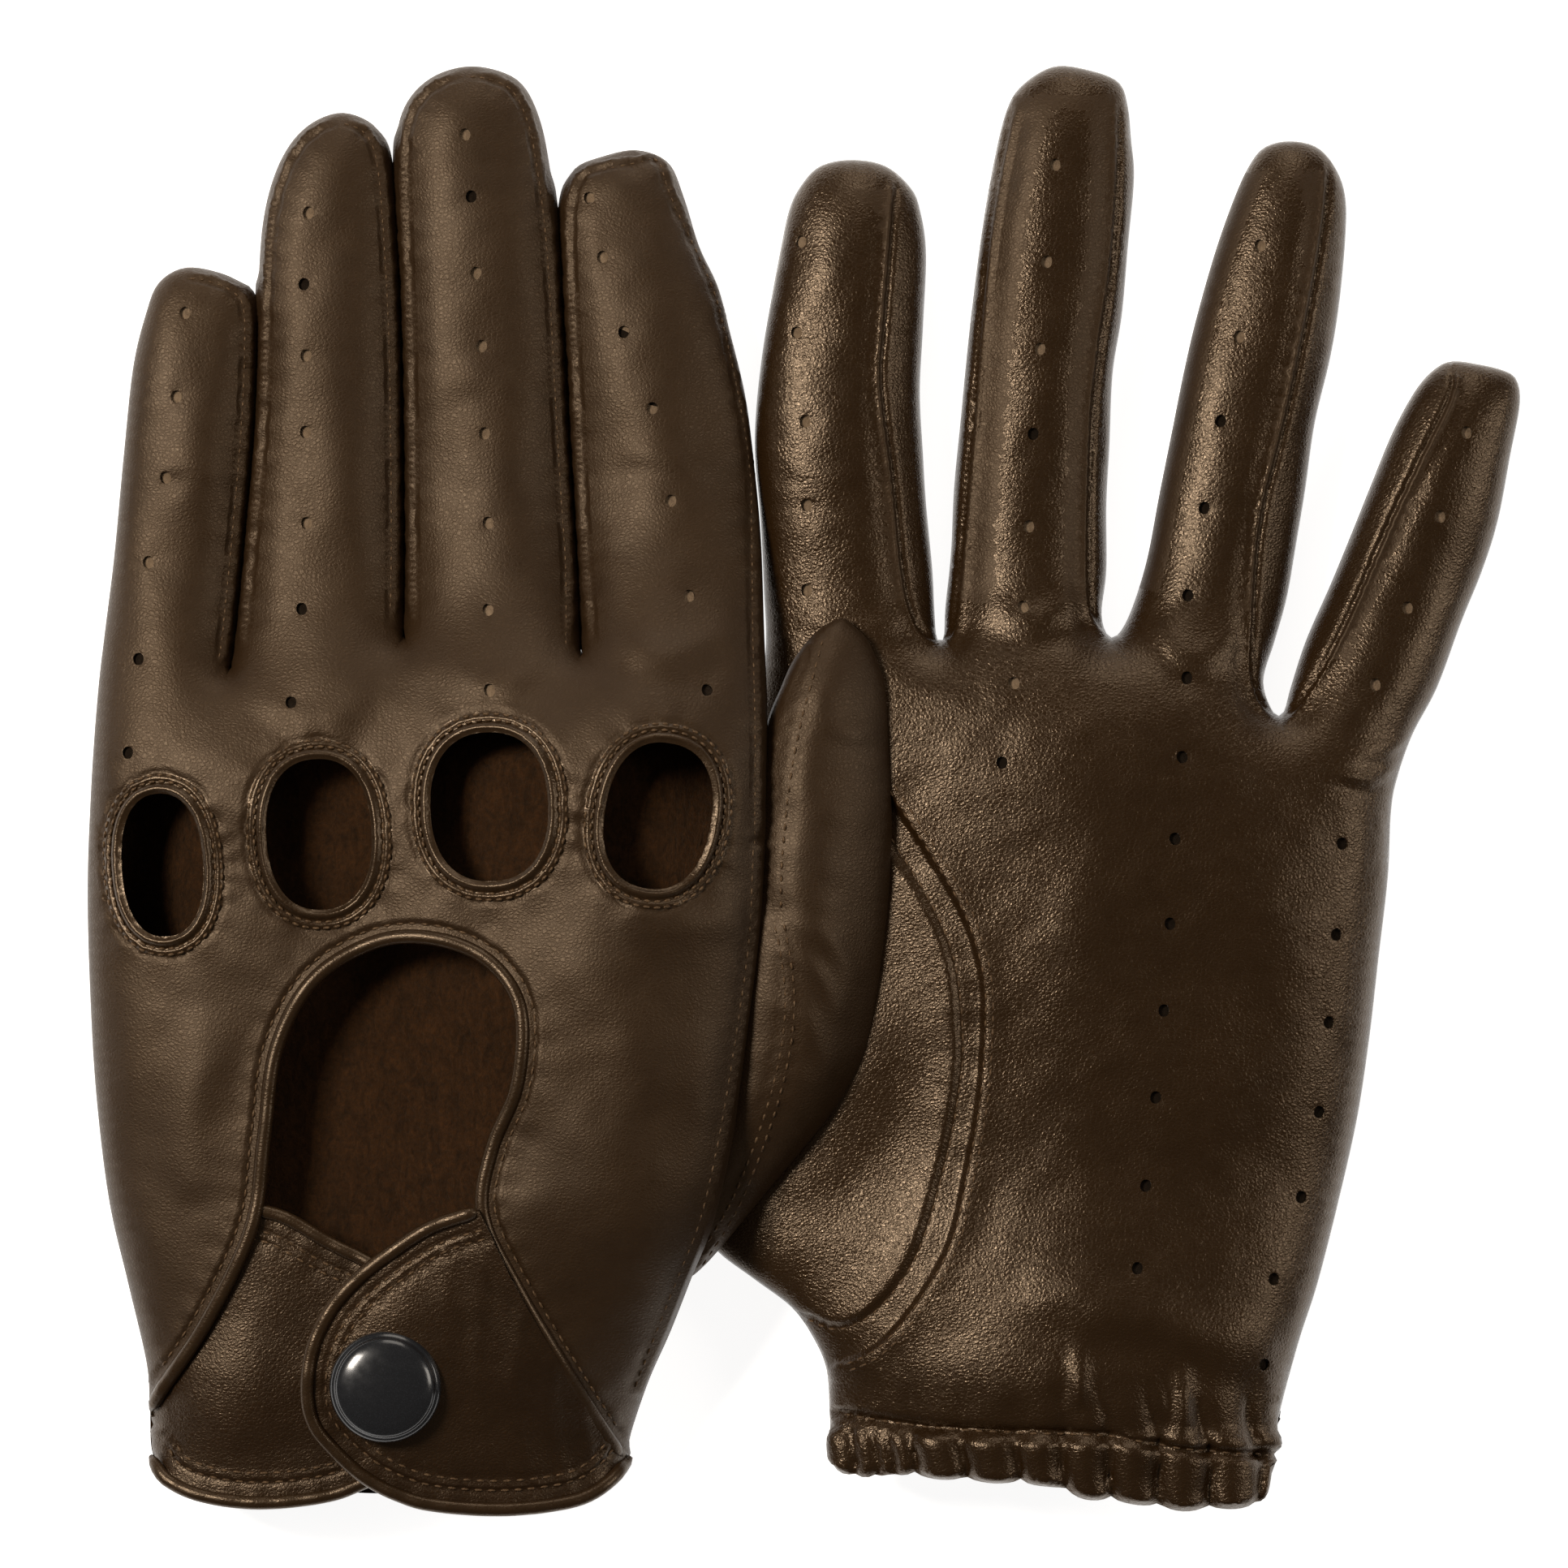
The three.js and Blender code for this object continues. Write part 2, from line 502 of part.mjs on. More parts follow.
const pair = new THREE.Group();
for (const glove of [LOWER, UPPER]) {
  const group = new THREE.Group();
  for (const [name, [body, material]] of Object.entries(glovePieces(glove))) group.add(toMesh(`${glove.name}_${name}`, body, material));
  pair.add(group);
}
const extent = new THREE.Box3().setFromObject(pair);
const middle = extent.getCenter(new THREE.Vector3());
pair.position.set(-middle.x, -middle.y, -extent.min.z);

export default pair;
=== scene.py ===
"""A pair of unlined leather driving gloves, laid flat: the upper glove back up, the lower palm up.

Plan coordinates are millimetres, as in the part's source; every mesh is made in metres. Each
glove is cut as a plan of its leather, filled like a soft bag, and split along its real seams.
"""

import json
import math

import bpy
import numpy as np
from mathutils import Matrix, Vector
from mathutils.bvhtree import BVHTree
from mathutils.geometry import delaunay_2d_cdt
from mathutils.kdtree import KDTree


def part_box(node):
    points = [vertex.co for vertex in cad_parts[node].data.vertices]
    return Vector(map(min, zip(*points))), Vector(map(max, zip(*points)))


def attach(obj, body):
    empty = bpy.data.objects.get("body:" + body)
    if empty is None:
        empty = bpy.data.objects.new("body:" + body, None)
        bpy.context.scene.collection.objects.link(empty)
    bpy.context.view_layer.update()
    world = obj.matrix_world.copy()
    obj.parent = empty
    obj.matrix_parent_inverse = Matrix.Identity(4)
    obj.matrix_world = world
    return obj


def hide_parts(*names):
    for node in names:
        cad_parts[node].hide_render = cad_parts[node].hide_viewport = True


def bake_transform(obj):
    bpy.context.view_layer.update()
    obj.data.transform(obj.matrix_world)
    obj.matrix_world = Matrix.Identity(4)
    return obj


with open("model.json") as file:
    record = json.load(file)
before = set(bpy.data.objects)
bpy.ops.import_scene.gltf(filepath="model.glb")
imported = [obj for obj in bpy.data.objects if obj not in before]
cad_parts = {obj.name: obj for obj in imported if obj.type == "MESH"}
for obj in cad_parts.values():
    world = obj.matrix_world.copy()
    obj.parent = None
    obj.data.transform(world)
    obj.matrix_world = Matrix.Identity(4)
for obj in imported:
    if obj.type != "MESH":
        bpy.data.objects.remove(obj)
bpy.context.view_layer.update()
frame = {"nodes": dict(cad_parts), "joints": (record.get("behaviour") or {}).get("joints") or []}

MM = 0.001
LEATHER = 0.85  # thickness of the gloves' leather, mm
ELASTIC = 0.7  # thickness of the elastic in the hem, mm
SPREAD = 12.0  # how far the filling's roundness reaches in from an edge, mm
FILL = 0.80  # how full the gloves are
GRID = 1.45  # spacing of the leather's points, mm
STITCH = 2.3  # length of a stitch and its gap, mm
CLEAR = 0.24  # the least gap between a seam's edge points and the rows of points beside it, mm
CELL = 0.3  # no two points of those rows share a cell of this size, mm
RIM = 0.02  # points this near the outline are the sheets' shared edge, mm
HOLE = (0.88, 1.0)  # half-width and half-height of a perforation, mm
MOUTH = -108.9  # beyond this y the two sheets part at the open cuff, mm
PADDING = 12.5  # how far the upper palm's flesh side is raised under the back's openings, mm
PIT = 0.70  # how deep the floor of a perforation lies, mm

# Outlines of the leather, in plan, from the cuff's left round the fingers to the cuff's right.
UPPER_OUTLINE = {
    "left": [(-104, -108.5), (-105, -100.5), (-105.5, -93), (-108.5, -80), (-111.5, -67),
             (-113.5, -51), (-114.5, -35.5), (-115, -17.5), (-114.5, -2), (-113.5, 14), (-112.5, 24)],
    "little": [(-111, 37), (-109.5, 53), (-108, 67), (-106, 75.5), (-104, 80.5), (-100, 83),
               (-95, 82.5), (-90.5, 80.5), (-88.2, 77), (-87.9, 68.5), (-88.5, 55.5), (-89.6, 42.5),
               (-90.8, 29.5), (-91.6, 21), (-92.1, 18.6)],
    "ring": [(-91.6, 21.5), (-90.7, 33.5), (-89.4, 47.5), (-88.3, 63), (-87.9, 80), (-87, 91.5),
             (-84.5, 100), (-80.5, 105.5), (-75, 108), (-70, 106.5), (-67.5, 103), (-66.4, 97.5),
             (-65.5, 86.5), (-64.7, 71), (-64.4, 53), (-64.3, 37), (-64.4, 25)],
    "middle": [(-64.2, 25), (-64.45, 37), (-64.6, 53), (-64.9, 69.5), (-65.5, 86.5), (-65.9, 97.5),
               (-65.5, 105.5), (-63.5, 110.5), (-59.5, 114), (-54, 115.5), (-48.5, 114.5),
               (-45, 112), (-42.5, 106.5), (-41, 99), (-39.6, 88), (-38.7, 75), (-37.9, 59.5),
               (-37.1, 46.5), (-36.3, 34.5), (-36.1, 22)],
    "index": [(-35.5, 22), (-36.4, 32), (-37.3, 45), (-38.1, 60.5), (-38.9, 75), (-39.4, 88),
              (-39, 94.5), (-37, 99), (-32.5, 101), (-27, 102), (-22, 100), (-19.5, 94.5),
              (-17, 86.5), (-14, 80), (-12, 72.5), (-9.5, 62), (-8, 50), (-7, 38.5), (-6.5, 24),
              (-6, 12.5)],
    "right": [(-6, 1), (-6, -12), (-7, -25), (-9, -41), (-11.5, -56.5), (-14.5, -69.5),
              (-18, -78.5), (-21.5, -87.5), (-25, -95.5), (-28, -104.5), (-28.5, -108.5)],
    "cuff": [(-36, -111.5), (-50, -113.5), (-66, -114.5), (-84, -113.5), (-97, -111.5)],
}
LOWER_OUTLINE = {
    "left": [(4.5, -108.5), (4, -101.5), (3.5, -94), (1.5, -89), (-2, -84), (-8, -79.5), (-14, -75),
             (-17, -70.5), (-18.5, -59), (-16, -41), (-12, -22.5), (-8.5, -7), (-8, 8.5)],
    "index": [(-6.3, 21.5), (-6.6, 32), (-7.1, 42.5), (-8, 53), (-7.8, 60.5), (-6.8, 69.5),
              (-5.5, 77.5), (-4, 85.5), (-2.5, 92.5), (-0.5, 96.5), (2.5, 99.5), (7.5, 100.5),
              (13, 99.5), (17, 96), (18.5, 92.5), (19.5, 85.5), (19, 73.5), (18.5, 63), (19, 53),
              (19.5, 45), (20.5, 34.5), (20.8, 28.5), (21.2, 23.5)],
    "middle": [(22.3, 23.5), (22.6, 28.5), (23.5, 37), (24, 47.5), (25, 58), (26, 68.5), (27, 77.5),
               (28.5, 89), (30.5, 100.5), (32.5, 108.5), (35, 112.5), (40, 115.5), (45.5, 115),
               (50.5, 113), (52, 109), (52.5, 104), (53, 97.5), (52, 86.5), (51, 75.5),
               (49.5, 66), (49, 54.5), (48.5, 45), (48.5, 34.5), (47.7, 27.5), (48.6, 24)],
    "ring": [(50.3, 24), (52.5, 28), (55, 36), (57, 46.5), (59, 56.5), (61, 66.5), (63, 75),
             (66, 85.5), (69, 94), (71.5, 99.5), (74, 102.5), (78, 103.5), (82.5, 102.5),
             (85.5, 99), (87, 94.5), (87, 88), (86, 77.5), (84.5, 68.5), (82, 58), (80.5, 47.5),
             (79, 38.5), (77.5, 30), (75.5, 23), (73.6, 16.5), (75.2, 11.5)],
    "little": [(76.8, 11.5), (78, 15.5), (80.5, 23), (84.5, 32), (88, 40.5), (91, 48), (94.5, 56.5),
               (98, 63), (101, 66.5), (104, 68), (108.5, 67.5), (112.5, 66.5), (114.5, 65),
               (115, 61), (113.5, 53), (111.5, 42.5), (109, 34.5), (105.5, 26), (101.5, 15.5),
               (97.5, 8)],
    "right": [(95, 1), (94, -4.5), (93.5, -15), (92, -28), (90.5, -41), (88.5, -54), (85.5, -67),
              (82, -80), (79, -89), (76, -100), (74.5, -108.5)],
    "cuff": [(72.5, -114), (66, -114.8), (59.5, -115), (51.5, -113.8), (44, -113), (39, -111.2),
             (33.5, -110.8), (25, -110.4), (16.5, -110), (9, -110.6)],
}

# Openings of the back, in the upper glove's plan; the lower glove's back is its mirror image.
KEYHOLE = [(-105.5, -106.5), (-104, -99), (-95.5, -86), (-88, -70.5), (-86, -56.5), (-84, -42),
           (-78, -31), (-68, -25), (-58.5, -24.5), (-50, -28), (-45, -35.5), (-45.5, -47.5),
           (-49.5, -57.5), (-51, -68), (-45.5, -80), (-38, -93), (-29.5, -107.5)]
KNUCKLES = {"little": (-102.3, -12.9, 6.6, 11.4, 4), "ring": (-77.2, -8, 8.4, 12, 3),
            "middle": (-50, -3.6, 9.4, 11.8, 2), "index": (-23.2, -5, 8.4, 11.6, -10)}
STRAP = [(-51.5, -67.5), (-59, -70), (-66, -74.5), (-71, -78.5), (-75, -83), (-78, -89), (-79, -96),
         (-78, -101.5), (-74.5, -106), (-70, -110), (-65, -112.7), (-59, -114.5), (-47.5, -115.3),
         (-36.5, -114), (-31, -111), (-28, -107.5)]
UNDER_TAB = [(-88, -67.5), (-82.5, -69), (-75.5, -73), (-68.5, -76.5), (-60.5, -82.5), (-57.5, -95.5),
             (-63, -107), (-71, -111.5), (-77, -113.5), (-87, -114.5), (-96, -113.5), (-102, -111),
             (-104.5, -107.5)]

# Wrinkles across the strap: line in plan, half-width and height.
STRAP_WRINKLES = [([(-45, -84), (-46, -96), (-44, -110)], 1.2, 0.22),
                  ([(-51, -76), (-52, -92), (-50, -108)], 1.0, 0.16),
                  ([(-40, -92), (-40, -102), (-38, -111)], 0.9, 0.2),
                  ([(-56, -74), (-57, -82), (-56, -88)], 0.9, 0.15),
                  ([(-35, -99), (-34.5, -105), (-33, -110)], 0.8, 0.18)]

# Rows of perforations: centres in plan, and which of them get a floor painted dark as shade; the rest
# get a floor painted light, standing in for lit leather behind.
UPPER_HOLES = [(-99.3, 75.5), (-100.6, 62), (-102.3, 49), (-105.1, 35.5), (-106.5, 20), (-108, 5),
               (-79.5, 91.5), (-80.2, 80), (-79.8, 68.5), (-79.9, 56.3), (-79.7, 41.7), (-80.4, 28),
               (-81.8, 13), (-54.4, 104), (-53.4, 94), (-52.6, 81.7), (-51.7, 70), (-51.2, 56),
               (-50.6, 41.7), (-50.5, 27.8), (-50, 14.8), (-34.6, 94), (-32.4, 84.4), (-29, 72.3),
               (-24.4, 60), (-21.4, 45.2), (-18.4, 30), (-15.5, 15)]
LOWER_HOLES = [(-0.7, 87), (-1.4, 72.3), (0, 58), (0.2, 44.6), (0.2, 31), (40.1, 99.2), (38.7, 83.6),
               (37.6, 69.6), (36.5, 56), (35.8, 41.2), (34.9, 28.3), (33.3, 16.1), (31.3, 3.4),
               (72.9, 86.3), (69.5, 71.6), (66.5, 58.1), (63.9, 44.2), (61.2, 30.2), (60.9, 17),
               (60, 4.3), (58.8, -8.7), (58, -22.2), (57, -36), (55.7, -49.8), (54.1, -63.8),
               (52.7, -76.8), (106, 56.3), (101.7, 42.8), (96.4, 28.2), (91.1, 15.9), (85.6, -9.5),
               (84.7, -24), (83.5, -38), (82, -52.3), (79.1, -65.8), (74.6, -78.7), (73, -92.3)]
PAINTED_SHADE_HOLES = {"upper": {4, 5, 7, 11, 12, 14, 23, 27}, "lower": {8, 12, *range(15, 26), *range(30, 37)}}

# The seams that cross the lower glove's palm side, and its thumb's double seam.
LOWER_SEAMS = {
    ("index", "right"): [(14.8, 97.5), (12.9, 73.5), (12.4, 64), (14.3, 48.5), (16, 32.5), (18.2, 25.2),
                         (21.6, 22.8)],
    ("middle", "left"): [(33.5, 110), (30, 92), (28.4, 77), (27, 60), (26, 48.5), (25, 36), (23.7, 25),
                         (21.6, 22.8)],
    ("middle", "right"): [(50.5, 110), (50.2, 96), (49.2, 82.5), (47.4, 70.5), (46.1, 58), (45.6, 39),
                          (46, 28), (49.4, 23.6)],
    ("ring", "right"): [(84.3, 100.2), (83.2, 89.5), (80.4, 74), (76.9, 57.5), (73.3, 43), (72, 29),
                        (72, 15.5), (76, 10.2)],
    ("little", "left"): [(104.2, 67.4), (103.2, 62), (99, 53.5), (94, 43), (89, 31.5),
                         (84.5, 22), (79.5, 13.5), (76, 10.2)],
}
THUMB_SEAM = [(12.5, -1), (20.3, -13), (25, -21.5), (27.6, -30), (28, -37.5), (27.2, -50), (25, -62.5),
              (22.5, -73), (17.4, -82), (11.5, -89), (6, -92)]
THUMB_SEAM_INNER = [(10.5, -5), (18.6, -17.5), (23.2, -28), (24.6, -41), (23.8, -50), (21.6, -61),
                    (17.4, -74.5), (11.5, -83), (5.6, -86.5), (0.5, -85)]
HEM_SEAM = [(3, -100.3), (20, -102.4), (34.5, -103), (48, -103.4), (60, -105.4), (76, -107)]

# Thumbs: outline, and (y, height of the middle) down the thumb.
UPPER_THUMB = [(-22, -80), (-16.5, -77.5), (-5.5, -64.5), (4.5, -52.5), (9, -45.5), (10.5, -41),
               (12, -31.5), (13.5, -18.5), (14, -5.5), (13.5, 6), (13, 15), (12, 18.5), (10, 23),
               (7.5, 25.5), (6, 26.5), (3.5, 25.5), (1, 23.5), (-2, 19.5), (-4, 15), (-6, 10),
               (-8, 1), (-9.5, -12), (-12, -28), (-15, -43.5), (-19, -59), (-23, -74)]
UPPER_THUMB_RISE = [(-84, 12), (-68, 14.5), (-52, 16.8), (-36, 18.4), (-14, 19.2), (26, 18.8)]
LOWER_THUMB = [(-8, -78), (-14, -74), (-19, -62), (-22, -46), (-24, -30), (-25.5, -14), (-24, 1),
               (-20.5, 7), (-16, 8.5), (-12, 5), (-9, -4), (-6, -18), (-1, -33), (6, -48), (10, -62),
               (4, -74)]
LOWER_THUMB_RISE = [(-78, 8.5), (-62, 7), (-46, 5.8), (-30, 5), (8, 4.7)]

UPPER_INDEX_SEAM = [(-33, 99.2), (-27, 100.4), (-23.2, 100.9), (-20.6, 93.9), (-14.4, 80.6), (-12, 72),
                    (-9.7, 61.1), (-8.1, 50.2), (-7.8, 40), (-7.6, 24), (-7.2, 8), (-7.3, -10)]
UPPER_SIDE_SEAM = [(-7.3, -10), (-8, -25), (-10.2, -41), (-12.8, -56.5), (-15.8, -69.5), (-19.3, -78.5),
                   (-22.8, -87.5), (-26.4, -97)]
GUSSET_SEAM = [(-4.1, -22), (-3, -28), (-2.4, -34.7), (-3.3, -43.3), (-6.2, -54.2), (-11.2, -67),
               (-17.2, -77)]
UPPER_THUMB_SEAM = [(2.2, 23.5), (0.2, 16), (-1.6, 9), (-3.2, 0), (-4.4, -12), (-4.6, -20)]

FINGERS = ("little", "ring", "middle", "index")


# ---------------------------------------------------------------- plan geometry

def smooth(t):
    """A soft step from 0 to 1 as t goes from 0 to 1."""
    t = np.clip(t, 0, 1)
    return t * t * (3 - 2 * t)


def ridge(d, wide):
    """A rounded ridge of height 1 and the given half-width, at a distance d from its line."""
    return np.exp(-(d / wide)**2)


def spline(points, closed=False, step=1.1):
    """A Catmull-Rom curve through given points, as evenly spaced points."""
    p = np.array(points, float)
    n = len(p)
    at = (lambda i: p[i % n]) if closed else (lambda i: p[min(max(i, 0), n - 1)])
    t = np.linspace(0, 1, 9)[:-1, None]
    out = []
    for i in range(n if closed else n - 1):
        a, b, c, d = at(i - 1), at(i), at(i + 1), at(i + 2)
        out.append(0.5 * (2 * b + (c - a) * t + (2 * a - 5 * b + 4 * c - d) * t**2
                          + (3 * b - a - 3 * c + d) * t**3))
    out.append(p[:1] if closed else p[-1:])
    return resample(np.concatenate(out), step, closed)


def resample(p, step, closed=False):
    """A polyline cut again at an even spacing; a closed one comes without its repeated end."""
    along = np.concatenate([[0], np.cumsum(np.linalg.norm(np.diff(p, axis=0), axis=1))])
    count = max(int(round(along[-1] / step)), 2)
    s = np.linspace(0, along[-1], count + 1)
    out = np.stack([np.interp(s, along, p[:, k]) for k in range(p.shape[1])], axis=1)
    return out[:-1] if closed else out


def offset(p, d, closed=False):
    """A polyline moved d to the left of its direction."""
    ahead, behind = (np.roll(p, -1, 0), np.roll(p, 1, 0)) if closed else (
        np.vstack([p[1:], p[-1:]]), np.vstack([p[:1], p[:-1]]))
    t = ahead - behind
    t /= np.maximum(np.linalg.norm(t, axis=1, keepdims=True), 1e-9)
    return p + d * np.stack([-t[:, 1], t[:, 0]], axis=1)


def distance(q, p, closed=False):
    """(distance, side, share along) from points q to a polyline p; side is +1 on its left."""
    a = p if closed else p[:-1]
    b = np.roll(p, -1, 0) if closed else p[1:]
    ab = b - a
    length = np.maximum((ab**2).sum(1), 1e-12)
    best = np.full(len(q), 1e9)
    side = np.ones(len(q))
    along = np.zeros(len(q))
    for lo in range(0, len(q), 4000):
        part = q[lo:lo + 4000, None, :] - a[None]
        t = np.clip((part * ab[None]).sum(2) / length, 0, 1)
        gap = part - t[..., None] * ab[None]
        d2 = (gap**2).sum(2)
        k = d2.argmin(1)
        rows = np.arange(len(k))
        best[lo:lo + 4000] = np.sqrt(d2[rows, k])
        cross = ab[k, 0] * gap[rows, k, 1] - ab[k, 1] * gap[rows, k, 0]
        side[lo:lo + 4000] = np.where(cross >= 0, 1, -1)
        along[lo:lo + 4000] = (k + t[rows, k]) / len(a)
    return best, side, along


def inside(q, loop):
    """Whether each point lies in a closed polygon."""
    x, y = q[:, 0], q[:, 1]
    hit = np.zeros(len(q), bool)
    for a, b in zip(loop, np.roll(loop, -1, 0)):
        crosses = (a[1] > y) != (b[1] > y)
        with np.errstate(divide="ignore", invalid="ignore"):
            at = (b[0] - a[0]) * (y - a[1]) / (b[1] - a[1]) + a[0]
        hit ^= crosses & (x < at)
    return hit


def oval(cx, cy, a, b, turn=0, count=40):
    """A rounded oval, flatter at its sides than an ellipse."""
    t = np.linspace(0, 2 * math.pi, count, endpoint=False)
    c, s = np.cos(t), np.sin(t)
    x, y = a * np.sign(c) * abs(c) ** 0.86, b * np.sign(s) * abs(s) ** 0.86
    r = math.radians(turn)
    p = np.stack([cx + x * math.cos(r) - y * math.sin(r), cy + x * math.sin(r) + y * math.cos(r)], 1)
    return resample(np.vstack([p, p[:1]]), 2 * math.pi * (a + b) / 2 / count, True)


def tree_of(points):
    """A search tree over plan points."""
    tree = KDTree(len(points))
    for i, p in enumerate(points):
        tree.insert((*p, 0), i)
    tree.balance()
    return tree


def facing(co, tri, up=1):
    """Triangles over plan points, all turned to face up, or down."""
    a, b, c = (co[tri[:, k]] for k in range(3))
    area = (b[:, 0] - a[:, 0]) * (c[:, 1] - a[:, 1]) - (b[:, 1] - a[:, 1]) * (c[:, 0] - a[:, 0])
    return np.where((area * up < 0)[:, None], tri[:, ::-1], tri)


def triangulate(outline, lines, loops, rails, grid):
    """Fills an outline with triangles that keep the given lines and loops as edges."""
    points, edges = [], []

    def put(p, closed):
        first = len(points)
        points.extend(map(tuple, p))
        edges.extend((first + i, first + i + 1) for i in range(len(p) - 1))
        if closed:
            edges.append((first + len(p) - 1, first))

    put(outline, True)
    for p in lines:
        put(p, False)
    for p in loops:
        put(p, True)
    kept = tree_of(points)
    # The rails' points, where they are clear of the kept lines, one to a small cell.
    cells = {}
    for rail in rails:
        for q in rail[inside(rail, outline)]:
            if kept.find((*q, 0))[2] > CLEAR:
                cells.setdefault((round(q[0] / CELL), round(q[1] / CELL)), q)
    points.extend(map(tuple, cells.values()))
    dense = tree_of(points)
    lo, hi = outline.min(0), outline.max(0)
    rows = []
    y = lo[1]
    while y < hi[1]:
        x = np.arange(lo[0] + (len(rows) % 2) * grid / 2, hi[0], grid)
        rows.append(np.stack([x, np.full(len(x), y)], 1))
        y += grid * 0.866
    lattice = np.concatenate(rows)
    lattice = lattice[inside(lattice, outline)]
    points.extend(tuple(q) for q in lattice if dense.find((*q, 0))[2] > grid * 0.62)
    result = delaunay_2d_cdt([Vector(p) for p in points], edges, [], 0, 1e-4)
    co = np.array([(v.x, v.y) for v in result[0]])
    tri = np.array([f for f in result[2] if len(f) == 3])
    tri = tri[inside(co[tri].mean(1), outline)]
    used = np.unique(tri)
    index = np.full(len(co), -1)
    index[used] = np.arange(len(used))
    return co[used], index[tri]


def inflate(co, tri, fixed, spread=SPREAD, fill=FILL):
    """Height of a soft filling over a plan, from a stretched-membrane equation; 0 where fixed."""
    n = len(co)
    i, j, k = tri.T
    weights, pairs = [], []
    for a, b, c in ((i, j, k), (j, k, i), (k, i, j)):
        u, v = co[a] - co[c], co[b] - co[c]
        cross = np.abs(u[:, 0] * v[:, 1] - u[:, 1] * v[:, 0])
        weights.append(np.clip((u * v).sum(1) / np.maximum(cross, 1e-9) / 2, 0.01, 20))
        pairs.append((a, b))
    area = np.abs(np.cross(co[j] - co[i], co[k] - co[i])) / 2
    mass = sum(np.bincount(x, area / 3, n) for x in (i, j, k))
    rows = np.concatenate([np.concatenate([a, b]) for a, b in pairs])
    cols = np.concatenate([np.concatenate([b, a]) for a, b in pairs])
    w = np.concatenate([np.concatenate([x, x]) for x in weights])
    diag = np.bincount(rows, w, n) + mass / spread**2
    free = ~fixed

    def apply(x):
        return np.where(free, diag * x - np.bincount(rows, w * x[cols], n), 0)

    x = np.zeros(n)
    r = np.where(free, mass, 0)
    z = r / diag
    p = z.copy()
    rz = r @ z
    for _ in range(600):
        ap = apply(p)
        alpha = rz / (p @ ap)
        x += alpha * p
        r -= alpha * ap
        if np.abs(r).max() < 1e-7:
            break
        z = r / diag
        rz, old = r @ z, rz
        p = z + (rz / old) * p
    return fill * np.sqrt(2 * np.maximum(x, 0))


def vertex_normals(v, f):
    """The normal at each point of a mesh of triangles."""
    n = np.zeros_like(v)
    cross = np.cross(v[f[:, 1]] - v[f[:, 0]], v[f[:, 2]] - v[f[:, 0]])
    for k in range(3):
        for axis in range(3):
            n[:, axis] += np.bincount(f[:, k], cross[:, axis], len(v))
    return n / np.maximum(np.linalg.norm(n, axis=1, keepdims=True), 1e-12)


# ---------------------------------------------------------------- materials

def linear(r, g, b):
    """A colour given as it looks on screen, 0 to 255, as the shader's linear values."""
    return tuple((c / 255 / 12.92) if c <= 10 else ((c / 255 + 0.055) / 1.055) ** 2.4
                 for c in (r, g, b)) + (1,)


